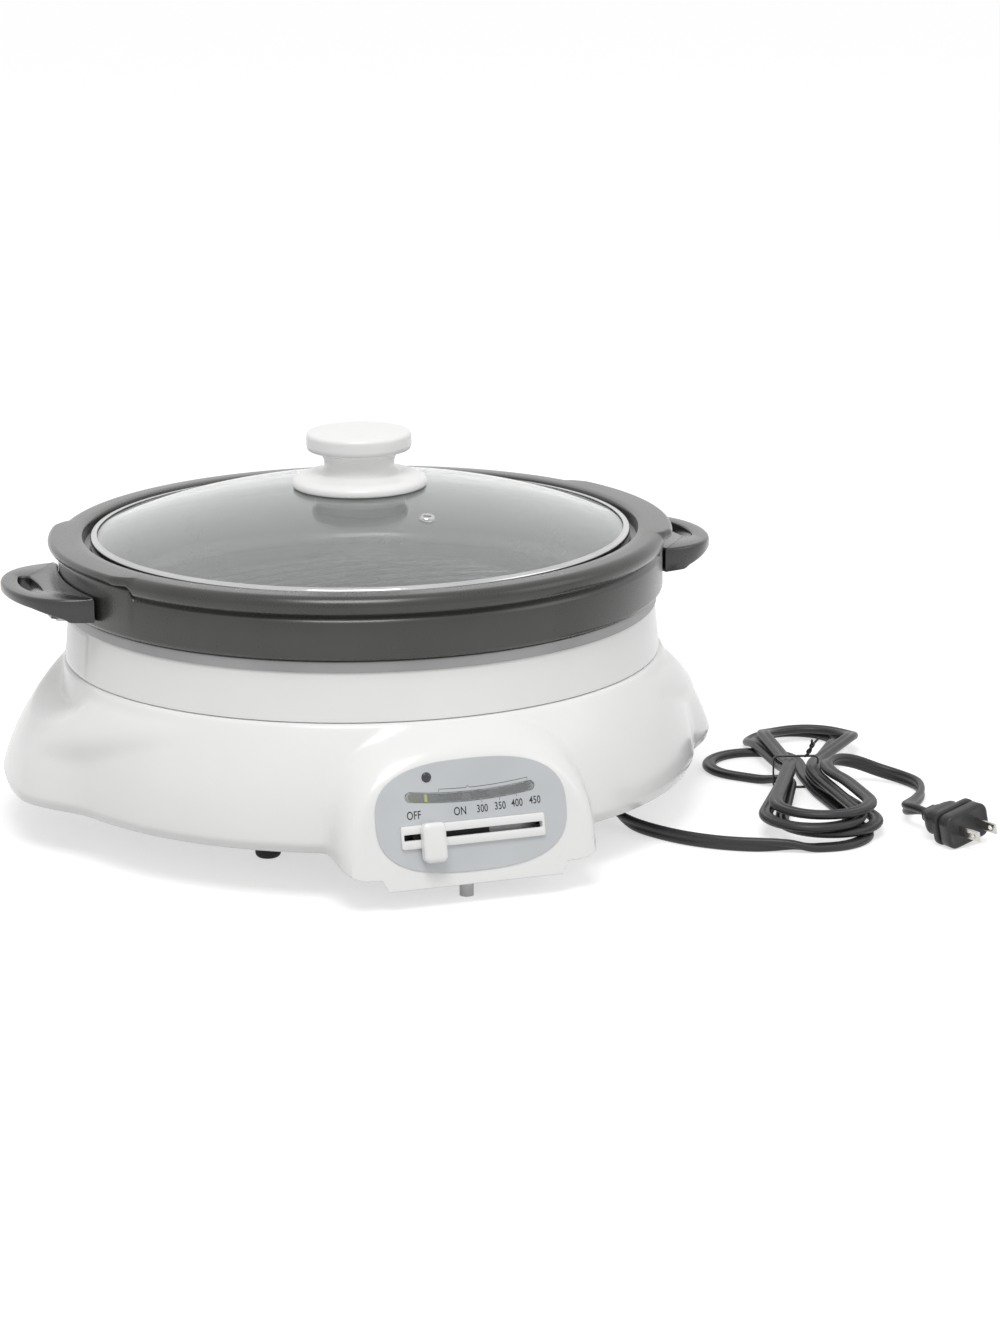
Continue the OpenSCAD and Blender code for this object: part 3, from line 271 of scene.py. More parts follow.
LEAD_W = 8.5
LEAD_T = 4.6
GLAND = Vector((120, -40, 14))
LEAD_HEADING = radians(-83)
BOOT_L = 26
lead_way = Vector((cos(LEAD_HEADING), sin(LEAD_HEADING), 0))
boot_end = GLAND + lead_way * BOOT_L
EDGE_Z = LEAD_W / 2 + 0.05
HANK = Vector((257, -62))
HANK_TURN = radians(72)
LOOP_TURN = (-106, 101, -102, 70, -108, 64, -104)
LOOP_REACH = (132, 79.2, 122.8, 118.8, 127.4, 108.2, 120.1)
LOOP_R = 27.8
LAST_LOOP = 6
LAYER = LEAD_T + 0.7
LAID = LEAD_T / 2 + 0.05
WAIST = LEAD_W / 2 + 0.45
WAIST_LIFT = 2.4            # draws the strands up where the tie passes under them
WAIST_EASE = 20
across = Vector((sin(HANK_TURN), -cos(HANK_TURN)))


def loop_z(k, spot):
    """Height of a loop: each lies on the one before, and far loops come down beyond the first."""
    down = eased(((spot - HANK).length - 76) / 28) if k % 2 and k > 1 else 0
    return LAID + LAYER * (k // 2 - down)


def lifted(k, spot):
    return Vector((spot.x, spot.y, loop_z(k, spot)))


def loop_arc(k, steps=20):
    """Round end of one loop, from its first strand over the tip to its second."""
    out = Vector((cos(radians(LOOP_TURN[k])), sin(radians(LOOP_TURN[k]))))
    side = Vector((out.y, -out.x))
    far = LOOP_REACH[k] - LOOP_R
    lean = asin((LOOP_R - WAIST) / far)
    start = pi / 2 if k == 0 else -lean
    steps = steps // 2 if k == 0 else steps
    angles = [start + (pi + lean - start) * i / steps for i in range(steps + 1)]
    return [lifted(k, HANK + side * LOOP_R * cos(a) + out * (far + LOOP_R * sin(a)))
            for a in angles]


def strand(k):
    """The stretch from one loop's end through the waist to the next loop's start."""
    waist = HANK + across * (-WAIST if k % 2 else WAIST)
    start, end = loop_arc(k)[-1].xy, loop_arc(k + 1)[0].xy
    a = waist + (start - waist).normalized() * WAIST_EASE
    b = waist + (end - waist).normalized() * WAIST_EASE
    low, high = LAID + LAYER * (k // 2), LAID + LAYER * ((k + 1) // 2)
    pin = Vector((waist.x, waist.y, (low + high) / 2 + WAIST_LIFT))
    run_in = round((start - a).length / 7)
    run_out = round((end - b).length / 7)
    return ([lifted(k, start.lerp(a, i / run_in)) for i in range(1, run_in)]
            + [Vector((a.x, a.y, low)) * (1 - t) ** 2 + pin * 2 * t * (1 - t)
               + Vector((b.x, b.y, high)) * t * t for t in (i / 8 for i in range(9))]
            + [lifted(k + 1, b.lerp(end, i / run_out)) for i in range(1, run_out)])


hank_points = []
for k in range(LAST_LOOP + 1):
    hank_points += loop_arc(k)
    if k < LAST_LOOP:
        hank_points += strand(k)
top = hank_points[-1].z
PLUG_AT = Vector((291.5, -177, 12.5))
PLUG_HEADING = radians(-74)
PLUG_ROLL = radians(12)
plug_way = Vector((cos(PLUG_HEADING), sin(PLUG_HEADING), 0))
run_route = [(124.5, -76, 12.8), (127, -92, 7), (131, -111, EDGE_Z), (139, -132, EDGE_Z),
             (150.5, -150, EDGE_Z), (166, -165.5, EDGE_Z), (184, -176.5, EDGE_Z),
             (203, -183.5, EDGE_Z)]
tail_route = [(265, -116, top), (264.2, -103, top), (264.5, -91, top), (268.3, -76.8, top),
              (278.8, -66.3, top - 1.2), (293, -62.5, top - 5), (307.2, -66.3, 7.5),
              (317.7, -76.8, 4.7), (321.5, -91, EDGE_Z), (319.5, -102, EDGE_Z),
              (314, -114.5, EDGE_Z), (305, -127, 4.6), (295.5, -138.5, 6), (288.6, -149, 8.2),
              (286.4, -159, 10.8)]
entry = hank_points[0] - (hank_points[1] - hank_points[0]).normalized() * 2 * LEAD_T
run_points = eased_route([boot_end - lead_way * 4, boot_end] + run_route + [entry])[:-1]
tail_points = eased_route([hank_points[-1]] + tail_route
                          + [PLUG_AT - plug_way * LEAD_W, PLUG_AT + plug_way * 2])[1:]
lead_path = evened(run_points + [entry] + hank_points + tail_points)


def turned_up(i):
    """Roll of the lead at a point: on its edge on the table, flat in the hank and at its ends."""
    at, whole = LEAD_STEP * i, LEAD_STEP * len(lead_path)
    run = LEAD_STEP * len(evened(run_points))
    tail = whole - LEAD_STEP * len(evened(tail_points))
    if at < (run + tail) / 2:
        return pi / 2 * min(eased((at - 12) / 50), eased((run + 6 - at) / 45))
    up = eased((at - tail - 60) / 50)
    down = eased((whole - at) / 45)
    return (pi / 2 * down + PLUG_ROLL * (1 - down)) * up


lead_rolls = [turned_up(i) for i in range(len(lead_path))]
CORE_R = LEAD_T / 2
CORE_AT = (LEAD_W - LEAD_T) / 2
lead_profile = [(side * u, side * v) for side in (1, -1)
                for u, v in arc(CORE_AT, 0, CORE_R, -134, 134, 12)]
lead = drawn("mains_lead", lead_path, lead_profile, sharp=50, rolls=lead_rolls)
cord_pvc = finish("cord pvc", (44, 44, 46), (34, 34, 36), 0.34, 0.48, 900, 0.03)
fit(lead, "base", "cord_pvc", cord_pvc, "cord_run", "cord_hank", "cord_tail")

# ---- Tie of the hank ----
# A black twist tie round the waist of the hank, its two ends twisted together and left
# standing. A thin flat strap over a wire.
tie_right = WAIST + LEAD_W / 2 + 2.2
tie_left = tie_right + 4.8
TIE_HIGH = LAID + WAIST_LIFT / 2 + LAYER * (LAST_LOOP / 2 - 0.5) + LEAD_T / 2 + 1.1
hank_mid = Vector((HANK.x, HANK.y, 0))
across = across.to_3d()
along = Vector((cos(HANK_TURN), sin(HANK_TURN), 0))
TIE_ROUND = 2.5
TIE_LOW = 0.6


def box_outline(u, v, width, height, corner=0.0, steps=6):
    """A rectangle round (u, v), its corners rounded in some steps where a radius is given."""
    if not corner:
        return [(u + sx * width / 2, v + sy * height / 2)
                for sx, sy in ((1, 1), (-1, 1), (-1, -1), (1, -1))]
    out = []
    for sx, sy, start in ((1, 1, 0), (-1, 1, 90), (-1, -1, 180), (1, -1, 270)):
        out += arc(u + sx * (width / 2 - corner), v + sy * (height / 2 - corner), corner, start,
                   start + 90, steps)
    return out


tie_loop = box_outline((tie_right - tie_left) / 2, (TIE_HIGH + TIE_LOW) / 2, tie_right + tie_left,
                       TIE_HIGH - TIE_LOW, TIE_ROUND)
tie_rings = []
for i, (u, v) in enumerate(tie_loop):
    before, after = tie_loop[i - 1], tie_loop[(i + 1) % len(tie_loop)]
    out = Vector((after[1] - before[1], 0, before[0] - after[0])).normalized()
    ring = []
    for w, t in ((-1.5, -0.35), (-0.5, -0.55), (0.5, -0.55), (1.5, -0.35),
                 (1.5, 0.35), (0.5, 0.55), (-0.5, 0.55), (-1.5, 0.35)):
        ring.append(hank_mid + across * (u + out.x * t) + along * w
                    + Vector((0, 0, v + out.z * t)))
    tie_rings.append(ring)
tie = ringed("hank_tie", tie_rings, closed=True)
tie_parts = [tie]
for phase in (0, pi):
    twist = []
    for k in range(25):
        t = k / 24
        spread = 0.9 + 2.6 * max(0, t - 0.72) / 0.28
        turn = phase + 9.5 * min(t, 0.75)
        twist.append(hank_mid + across * (4 + 5.5 * t + spread * cos(turn))
                     + along * (spread * sin(turn)) + Vector((0, 0, TIE_HIGH - 0.4 + 11 * t)))
    tie_parts.append(drawn("tie_end", twist, [(0.75 * c, 0.75 * s) for c, s in circle(8)]))
joined(tie_parts)
fit(tie, "base", "black_rubber", finish("tie sleeve", (38, 38, 40), (26, 26, 28), 0.4, 0.6, 700,
    0.04), "cord_tie")

# ---- Strain relief ----
# A PVC boot moulded on the lead where it leaves the gland under the base: a flange, then
# a ribbed sleeve that tapers to the flat lead.


def boot_ring(at, half_w, half_t):
    side = lead_way.cross(Vector((0, 0, 1))).normalized()
    return [GLAND + lead_way * at + side * half_w * c + Vector((0, 0, half_t * s))
            for c, s in circle(40)]


boot_rings = [boot_ring(at, r, r) for at, r in (
    (-6, 4.6), (-5.6, 5), (7.3, 5), (7.4, 6.6), (7.8, 7), (8.9, 7), (9.3, 6.6))]
RIB_STEP = 3.4
SLEEVE_AT = 9.6
for k in range(34):
    t = k / 33
    at = SLEEVE_AT + (BOOT_L - SLEEVE_AT - 0.2) * t
    groove = 0.55 * eased(2.2 * cos(2 * pi * (at - SLEEVE_AT) / RIB_STEP) - 0.6)
    boot_rings.append(boot_ring(at, 6 - (6 - LEAD_W / 2 - 0.9) * t - groove * (1 - 0.4 * t),
                                6 - (6 - LEAD_T / 2 - 1.0) * t - groove * (1 - 0.4 * t)))
boot_rings.append(boot_ring(BOOT_L, LEAD_W / 2 + 0.35, LEAD_T / 2 + 0.35))
boot = ringed("lead_boot", boot_rings, sharp=60)
fit(boot, "base", "cord_pvc", cord_pvc, "strain_relief")

# ---- Plug ----
# A moulded PVC plug: a neck, a waist and a flat rounded face with a raised ring round it,
# and two nickel-plated brass blades with a hole near each tip.
PLUG_W = 31
PLUG_H = 21
PLUG_L = 35
plug_frame = (Matrix.Translation(PLUG_AT) @ Matrix.Rotation(PLUG_HEADING, 4, "Z")
              @ Matrix.Rotation(PLUG_ROLL, 4, "X"))


def plug_ring(at, width, height, corner):
    return [plug_frame @ Vector((at, y, z)) for y, z in box_outline(0, 0, width, height, corner, 8)]


plug_stations = [(-1, LEAD_W + 1.6, LEAD_T + 1.6, 2.6), (0, LEAD_W + 3.4, LEAD_T + 3.4, 3.2)]
for k in range(1, 13):
    t = eased(k / 12)
    dent = 0.8 if k % 4 == 1 else 0
    plug_stations.append((k, LEAD_W + 3.6 + (PLUG_W - 7 - LEAD_W - 3.6) * t - dent,
                          LEAD_T + 3.6 + (PLUG_H - 6 - LEAD_T - 3.6) * t - dent, 3.4 + 1.6 * t))
plug_stations += [(at, PLUG_W - w, PLUG_H - h, corner) for at, w, h, corner in (
    (14.6, 9, 6, 5), (19, 8, 5.4, 5.2), (20, 5, 3.4, 5.4), (20.6, 1.4, 1, 5.6), (21.2, 0.2, 0, 6),
    (23.6, 0.2, 0, 6), (24.2, 1.4, 1.2, 5.6), (24.5, 4, 3.4, 5), (26.3, 4, 3.4, 5),
    (26.6, 2, 1.8, 5.4), (27.4, 0.8, 0.6, 5.8), (33.8, 0.4, 0.4, 5.8), (34.6, 1, 1, 5.6),
    (35, 2.4, 2.4, 5), (35, 5, 5, 4), (34.7, 5.8, 5.8, 3.8))]
plug = ringed("plug_moulding", [plug_ring(*s) for s in plug_stations], sharp=42)
fit(plug, "base", "cord_pvc", cord_pvc, "plug_body")

BLADE_W = 6.3
BLADE_T = 1.5
BLADE_OUT = 17
BLADE_GAP = 12.7


def cut(piece, cutter):
    """The cutter's space goes out of the piece, and the cutter with it."""
    modified(piece, "BOOLEAN", object=cutter, solver="EXACT")
    bpy.data.objects.remove(cutter)


blade_parts = []
for y in (-BLADE_GAP / 2, BLADE_GAP / 2):
    bpy.ops.mesh.primitive_cube_add(size=1)
    blade = bpy.context.active_object
    blade.name = "plug_blade"
    low, high = PLUG_L - 7.5, PLUG_L + BLADE_OUT
    blade.data.transform(Matrix.Translation(((low + high) / 2, y, 0))
                         @ Matrix.Diagonal((high - low, BLADE_T, BLADE_W, 1)))
    bpy.ops.mesh.primitive_cylinder_add(vertices=32, radius=1.6, depth=4)
    hole = bpy.context.active_object
    hole.data.transform(Matrix.Translation((PLUG_L + 12.5, y, 0))
                        @ Matrix.Rotation(radians(90), 4, "X"))
    modified(blade, "BEVEL", width=0.4, segments=3)
    cut(blade, hole)
    blade.data.transform(Matrix.Translation((0, AXIS_Y * MM, 0)) @ Matrix.Scale(MM, 4) @ plug_frame)
    take_up(blade)
    smooth_under(35)
    blade_parts.append(blade)
blades = joined(blade_parts)
blades.name = "plug_blade_pair"
fit(blades, "base", "blade_brass", finish("nickelled brass", (214, 213, 209), (200, 198, 192),
    0.16, 0.28, 500, 0.01, Metallic=1.0), "plug_blades")

# ---- Studio ----
# A plain pale floor under plain soft light. The floor shows white where nothing shades it.
bpy.ops.mesh.primitive_circle_add(vertices=96, radius=9, fill_type="NGON", location=(0, 3, 0))
floor = bpy.context.active_object
floor.name = "studio_floor"
floor_paint = bpy.data.materials.new("studio floor")
floor_paint.use_nodes = True
floor_tree = floor_paint.node_tree


def seen_white(tree):
    """1 for what the camera, a gloss or a glass sees, and 0 for the light on the object."""
    rays = wired(tree, "ShaderNodeLightPath", {})
    glossy = wired(tree, "ShaderNodeMath",
                   {0: rays["Is Glossy Ray"], 1: rays["Is Transmission Ray"]}, operation="MAXIMUM")[0]
    return wired(tree, "ShaderNodeMath", {0: rays["Is Camera Ray"], 1: glossy},
                 operation="MAXIMUM")[0]


FLOOR_LIFT = 0.6
AMBIENT = 0.6
floor_lift = wired(floor_tree, "ShaderNodeMath", {0: seen_white(floor_tree), 1: FLOOR_LIFT},
                   operation="MULTIPLY")[0]
feed(floor_tree, floor_tree.nodes["Principled BSDF"],
     {"Base Color": (0.6, 0.6, 0.6, 1), "Roughness": 0.9, "Specular IOR Level": 0.1,
      "Emission Color": (1, 1, 1, 1), "Emission Strength": floor_lift})
floor.data.materials.append(floor_paint)

world = bpy.data.worlds.new("studio")
bpy.context.scene.world = world
world.use_nodes = True
sky = world.node_tree
glow = wired(sky, "ShaderNodeMapRange", {"Value": seen_white(sky), "To Min": AMBIENT, "To Max": 1})
feed(sky, sky.nodes["Background"], {"Color": (1, 1, 1, 1), "Strength": glow["Result"]})
for name, spot, aim, size, watts in (
        ("softbox_top", (-0.45, -1.1, 2.2), (0, 0, 0.12), 1.1, 26),
        ("softbox_side", (2.2, -1.2, 1.5), (0, 0, 0.1), 1.4, 6)):
    lamp_data = bpy.data.lights.new(name, "AREA")
    lamp_data.size = size
    lamp_data.energy = watts
    lamp = bpy.data.objects.new(name, lamp_data)
    bpy.context.collection.objects.link(lamp)
    lamp.location = spot
    lamp.rotation_euler = (Vector(aim) - Vector(spot)).to_track_quat("-Z", "Y").to_euler()
bpy.context.scene.view_settings.view_transform = "Standard"

# ---- Base housing ----
# The bell of the base, moulded in glossy white plastic in one piece with its side grips,
# their finger scoops and the pad that carries the control panel. One screw post at each
# quarter and four small bosses behind the panel stand inside it.
SEAM_R = 178
SEAM_Z = 98
SKIRT_R = 198
SKIRT_Z = 28
WALL = 3
WING_OUT = 19.5
WING_SPREAD = 46
SCOOP = 13
PAD_HALF = 92
PAD_Z = 12
PAD_LOW = 18
PAD_TOP = SEAM_Z - PAD_LOW + 2
EDGE_STEP = 7
STEP_X, SLOPE_X, SLOPE_END = 50, 62, 88
PANEL_TILT = radians(13)
PANEL_Y = 205
PANEL_Z = 50
WELL_RIM = 163


def face_y(z):
    return PANEL_Y - (z - PANEL_Z) * tan(PANEL_TILT)


def bell_r(z):
    s = min(1, max(0, (SEAM_Z - z) / (SEAM_Z - SKIRT_Z)))
    return (SEAM_R + (SKIRT_R - SEAM_R) * sin(radians(90 * s ** 0.9))
            - 2.5 * eased((SKIRT_Z + 6 - z) / 6))


def grip_r(side, z):
    """How far a grip stands out: steep towards the front and soft towards the back."""
    rise = min(1, max(0, (SEAM_Z - 6 - z) / (SEAM_Z - 6 - SKIRT_Z))) ** 0.8
    up = eased(1 - (SEAM_Z - z - 3) / 40)
    front = eased(0.5 + (11.5 + 22 * up + side) / (17 + 8 * up))
    return WING_OUT * rise * front * eased((WING_SPREAD - side) / 28)


def scoop_share(side, z):
    """The finger scoop, an oval dish that is open at the seam."""
    return eased((1 - hypot((side - 4) / 20.5, (SEAM_Z - 2 - z) / 25.5)) / 0.35)


def pad_share(x, z):
    q = (abs(x) / PAD_HALF) ** 2.6 + (max(0, z - PAD_LOW) / PAD_TOP) ** 2.6
    return eased((1 - q ** (1 / 2.6)) / 0.25)


def skin_r(phi, z):
    side = abs(phi) - 90
    bell = bell_r(z) + grip_r(side, z)
    bell -= min(SCOOP, bell - SEAM_R - 0.1 * (SEAM_Z - z)) * scoop_share(side, z)
    if abs(phi) > 50:
        return bell
    a = radians(phi)
    return bell + pad_share(face_y(z) * tan(a), z) * (face_y(z) / cos(a) - bell)


def edge_z(phi):
    """The lower edge: level under the pad, then a step and a slope up to the skirt."""
    x = PANEL_Y * tan(radians(min(abs(phi), 60)))
    if x >= SLOPE_END:
        return SKIRT_Z
    return (PAD_Z + EDGE_STEP * eased((x - STEP_X) / 2.5)
            + (SKIRT_Z - PAD_Z - EDGE_STEP) * max(0, x - SLOPE_X) / (SLOPE_END - SLOPE_X))


def housing_section(phi):
    low = edge_z(phi)
    outer = [(SEAM_R - 1.6, SEAM_Z), (SEAM_R - 0.8, SEAM_Z - 0.15)]
    outer += [(skin_r(phi, z) - inset, z) for z, inset in
              ((SEAM_Z - 0.55, 0.35), (SEAM_Z - 1.2, 0.05))]
    top, bottom = SEAM_Z - 2, low + 1.2
    outer += [(skin_r(phi, z), z) for z in (top + (bottom - top) * k / 34 for k in range(35))]
    foot = skin_r(phi, low)
    outer += [(foot - 0.15, low + 0.5), (foot - 0.6, low + 0.1), (foot - 1.1, low),
              (foot - WALL + 0.6, low), (foot - WALL, low + 0.6)]
    inner_top = SEAM_Z - WALL - 1.2
    inner = [(skin_r(phi, z) - WALL, z) for z in
             (low + 2 + (inner_top - low - 2) * k / 16 for k in range(17))]
    return outer + inner + [(WELL_RIM, inner_top), (WELL_RIM, SEAM_Z)]


def round_skin(name, angles, section, closed=True, sharp=35):
    """A section of (radius, height) points, drawn round the pot's axis from the front."""
    rings = [[(r * sin(radians(phi)), -r * cos(radians(phi)), z)
              for r, z in section(phi)] for phi in angles]
    return ringed(name, rings, closed, sharp)


housing = round_skin("housing_bell", [-180 + 0.75 * k for k in range(480)], housing_section,
                     sharp=38)


def on_panel(u, v, out):
    """A point of the panel's face: u to the right, v up the face, out of it."""
    return (u, -PANEL_Y + v * sin(PANEL_TILT) - out * cos(PANEL_TILT),
            PANEL_Z + v * cos(PANEL_TILT) + out * sin(PANEL_TILT))


def panel_block(name, outline, low, high, sharp=35):
    """A flat shape standing on the panel between two heights."""
    return ringed(name, [[on_panel(u, v, h) for u, v in outline] for h in (low, high)],
                  sharp=sharp)


def bevelled(piece, width):
    """The piece's sharp edges taken off."""
    modified(piece, "BEVEL", width=width * MM, segments=2, limit_method="ANGLE",
             angle_limit=radians(40))
    smooth_under(35)


SLOT_V = -9.5
SLOT_W, SLOT_H = 81, 3.4
FRAME_W, FRAME_H = 84, 13
WINDOW_V = 10.4
WINDOW_W, WINDOW_H = 76, 5.8
WINDOW_SAG = 2.8
LAMP_U, LAMP_V = -24.5, 23
smile_r = (WINDOW_W / 2) ** 2 / (2 * WINDOW_SAG)


def smile(width, height):
    """Outline of the slightly smiling bar of the scale window, with round ends."""
    mid = WINDOW_V + smile_r
    half = degrees(asin((width - height) / 2 / smile_r))
    end_u = smile_r * sin(radians(half))
    end_v = mid - smile_r * cos(radians(half))
    return (arc(0, mid, smile_r + height / 2, -half - 90, half - 90, 24)
            + arc(end_u, end_v, height / 2, half - 90, half + 90, 8)
            + arc(0, mid, smile_r - height / 2, half - 90, -half - 90, 24)
            + arc(-end_u, end_v, height / 2, 90 - half, 270 - half, 8))


def disc_outline(u, v, radius, n=40):
    return [(u + radius * c, v + radius * s) for c, s in circle(n)]


cut(housing, panel_block("slot_cut", box_outline(0, SLOT_V, FRAME_W - 1, SLOT_H + 4), -5, 3))
cut(housing, panel_block("window_cut", smile(WINDOW_W - 4, WINDOW_H - 1.4), -5, 3))
cut(housing, panel_block("lamp_cut", disc_outline(LAMP_U, LAMP_V, 2.85), -5, 3))
housing_parts = [housing]
POST_R = 166.5
for angle in (40, 140, 220, 320):
    a = radians(angle)
    rings = [[(x, y, z) for x, y in disc_outline(POST_R * cos(a), POST_R * sin(a), r, 28)]
             for r, z in ((1.75, 50), (1.75, 31.1), (4.4, 31.1), (5, 31.7), (5, 94.5))]
    housing_parts.append(ringed("screw_post", rings))
for u, v in ((-40, 15), (40, 15), (-32, -22), (32, -22)):
    housing_parts.append(panel_block("panel_boss", disc_outline(u, v, 3.5, 24), -14.8, -1.5))
joined(housing_parts)
smooth_under(38)
white_plastic = finish("white gloss plastic", (241, 241, 240), (239, 239, 238),
                       0.16, 0.24, 260, 0.004, IOR=1.5)
fit(housing, "base", "white_plastic", white_plastic, "base_housing")

# ---- Underside ----
# A light plastic cover with air slots and foot sockets closes the bell, held by four screws.
# Rubber feet are pushed in, and a small peg stands under the pad.


def dress(material, *nodes):
    """A CAD node whose shape is right keeps its mesh and takes a material."""
    for node in nodes:
        for material_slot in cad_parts[node].material_slots:
            material_slot.material = material


for name, light, dark, smooth, rough, size, depth, metallic, *nodes in (
        ("cover plastic", (226, 226, 224), (218, 218, 216), 0.42, 0.55, 1400, 0.03, 0,
         "bottom_cover", "cord_gland"),
        ("foot rubber", (46, 46, 48), (34, 34, 36), 0.6, 0.8, 900, 0.05, 0, "rubber_feet"),
        ("peg plastic", (236, 237, 238), (228, 229, 230), 0.4, 0.5, 900, 0.02, 0,
         "front_peg_foot"),
        ("zinc plated screws", (196, 196, 198), (170, 170, 172), 0.25, 0.42, 700, 0.02, 1,
         "cover_screws", "bracket_screws", "handle_screws", "knob_screw", "thermostat_shaft")):
    dress(finish(name, light, dark, smooth, rough, size, depth, Metallic=metallic), *nodes)

# ---- Heater and thermostat ----
# A bent heating tube over a bright reflector in a sheet-steel well, a sprung sensor through
# the middle, and the thermostat with its black rack and pinion behind the panel.
for name, light, dark, smooth, rough, size, depth, metallic, *nodes in (
        ("plain sheet steel", (198, 199, 201), (176, 177, 180), 0.3, 0.45, 350, 0.02, 1,
         "heat_shield", "ring_supports", "sensor_guide", "thermostat_bracket"),
        ("bright aluminium", (222, 223, 225), (206, 207, 210), 0.16, 0.28, 300, 0.01, 1,
         "reflector_dish", "sensor_plunger"),
        ("oxidised heater sheath", (84, 82, 82), (58, 56, 58), 0.38, 0.6, 500, 0.04, 0.8,
         "heating_ring"),
        ("bright spring wire", (190, 190, 192), (160, 160, 164), 0.2, 0.34, 900, 0.01, 1,
         "sensor_spring"),
        ("glazed ceramic", (238, 232, 216), (228, 221, 203), 0.15, 0.3, 500, 0.02, 0,
         "thermal_fuse", "terminal_block"),
        ("brown phenolic", (104, 66, 44), (78, 48, 32), 0.3, 0.5, 1200, 0.02, 0,
         "thermostat_body"),
        ("black acetal", (30, 30, 31), (22, 22, 23), 0.4, 0.55, 1400, 0.02, 0,
         "slider_carriage", "thermostat_pinion"),
        ("glass-sleeved wire", (214, 206, 188), (190, 182, 164), 0.6, 0.8, 2500, 0.08, 0,
         "inner_wires")):
    dress(finish(name, light, dark, smooth, rough, size, depth, Metallic=metallic), *nodes)

# ---- Label plate ----
# A thin silver-grey plate set on the pad, with cut-outs for the scale window, the slot frame
# and the lamp. OFF, ON and an even scale of numbers are printed on it.
LABEL_W, LABEL_H, LABEL_T = 112, 63, 0.6
LINE_W = 0.28


OVAL = 2.7                 # power of the plate's outline: 2 is an oval, more is squarer
label = panel_block("label_sheet", [
    (LABEL_W / 2 * copysign(abs(c) ** (2 / OVAL), c),
     LABEL_H / 2 * copysign(abs(s) ** (2 / OVAL), s)) for c, s in circle(180)], 0, LABEL_T)
bevelled(label, 0.22)
cut(label, panel_block("cut", smile(WINDOW_W + 0.2, WINDOW_H + 0.2), -1, 2))
cut(label, panel_block("cut", box_outline(0, SLOT_V, FRAME_W + 0.2, FRAME_H + 0.2, 0.8), -1, 2))
cut(label, panel_block("cut", disc_outline(LAMP_U, LAMP_V, 2.85), -1, 2))
take_up(label)
smooth_under(30)
fit(label, "base", "label_silver", finish("silver-grey label", (200, 203, 205), (194, 197, 199),
    0.3, 0.42, 1800, 0.01, Metallic=0.2), "label_plate")

panel_turn = Matrix(((1, 0, 0, 0), (0, sin(PANEL_TILT), -cos(PANEL_TILT), 0),
                     (0, cos(PANEL_TILT), sin(PANEL_TILT), 0), (0, 0, 0, 1)))
print_parts = []
for words, u, v, size in (("OFF", -33.5, 2.4, 5.8), ("ON", -6.5, 2.3, 5.8), ("300", 6.5, 2.5, 5.4),
                          ("350", 17, 3.0, 5.4), ("400", 27, 3.6, 5.4), ("450", 37.6, 4.2, 5.4)):
    bpy.ops.object.text_add()
    mark = bpy.context.active_object
    mark.data.body = words
    mark.data.size = size * MM
    mark.data.extrude = 0.03 * MM
    mark.data.offset = 0.06 * MM
    mark.data.align_x = "CENTER"
    mark.data.align_y = "CENTER"
    mark.data.space_character = 1.05
    bpy.ops.object.convert(target="MESH")
    mark = bpy.context.active_object
    mark.data.transform(Matrix.Translation(place(on_panel(u, v, LABEL_T + 0.02))) @ panel_turn
                        @ Matrix.Diagonal((0.8, 1.12, 1, 1)))
    print_parts.append(mark)


def scale_line(points):
    """A thin printed line through points of the panel's face."""
    left, right = [], []
    for i, (u, v) in enumerate(points):
        a, b = points[max(i - 1, 0)], points[min(i + 1, len(points) - 1)]
        way = Vector((b[0] - a[0], b[1] - a[1])).normalized() * LINE_W / 2
        left.append((u - way.y, v + way.x))
        right.append((u + way.y, v - way.x))
    return panel_block("scale_line", left + right[::-1], LABEL_T, LABEL_T + 0.05)


def above_window(u, lift):
    return WINDOW_V + smile_r - sqrt(smile_r ** 2 - u * u) + WINDOW_H / 2 + lift


print_parts.append(scale_line([(-18, above_window(-18, 0.6))]
                              + [(u, above_window(u, 1.9)) for u in range(-18, -1, 2)]
                              + [(-1.3, above_window(-1.3, 3.1))]
                              + [(u, above_window(u, 1.9)) for u in range(0, 35, 2)]
                              + [(34, above_window(34, 0.6))]))
for u in (6.5, 17, 27):
    print_parts.append(scale_line([(u, above_window(u, -WINDOW_H - 0.4)),
                                   (u, above_window(u, -WINDOW_H - 1.5))]))
prints = joined(print_parts)
prints.name = "scale_print"
fit(prints, "base", "label_silver", finish("dark scale ink", (46, 48, 52), (36, 38, 42), 0.4, 0.55,
    900, 0.005))

# ---- Scale window, slot frame and lamp ----
# A grey tinted window lies flush in the plate over the yellow pointer, which glows with painted light. The
# white slot frame is pushed through the housing below it, and the lamp's round lens stands beside them.
lens = panel_block("window_pane", smile(WINDOW_W, WINDOW_H), 0, LABEL_T)
bevelled(lens, 0.2)
tinted = finish("tinted window", (196, 200, 200), (190, 194, 194), 0.03, 0.06, 300,
                0.002, Transmission_Weight=0.74, IOR=1.49)
fit(lens, "base", "window_tint", tinted, "window_lens")
# The pointer's yellow paint carries an emission, a painted glow, so it shows bright behind the tinted
# window.
pointer_paint_with_glow = finish("pointer with painted glow", (222, 230, 60), (212, 220, 50),
                       0.35, 0.5, 900, 0.01, Emission_Color=(0.75, 0.8, 0.03, 1),
                       Emission_Strength=1.0)
dress(pointer_paint_with_glow, "scale_pointer")

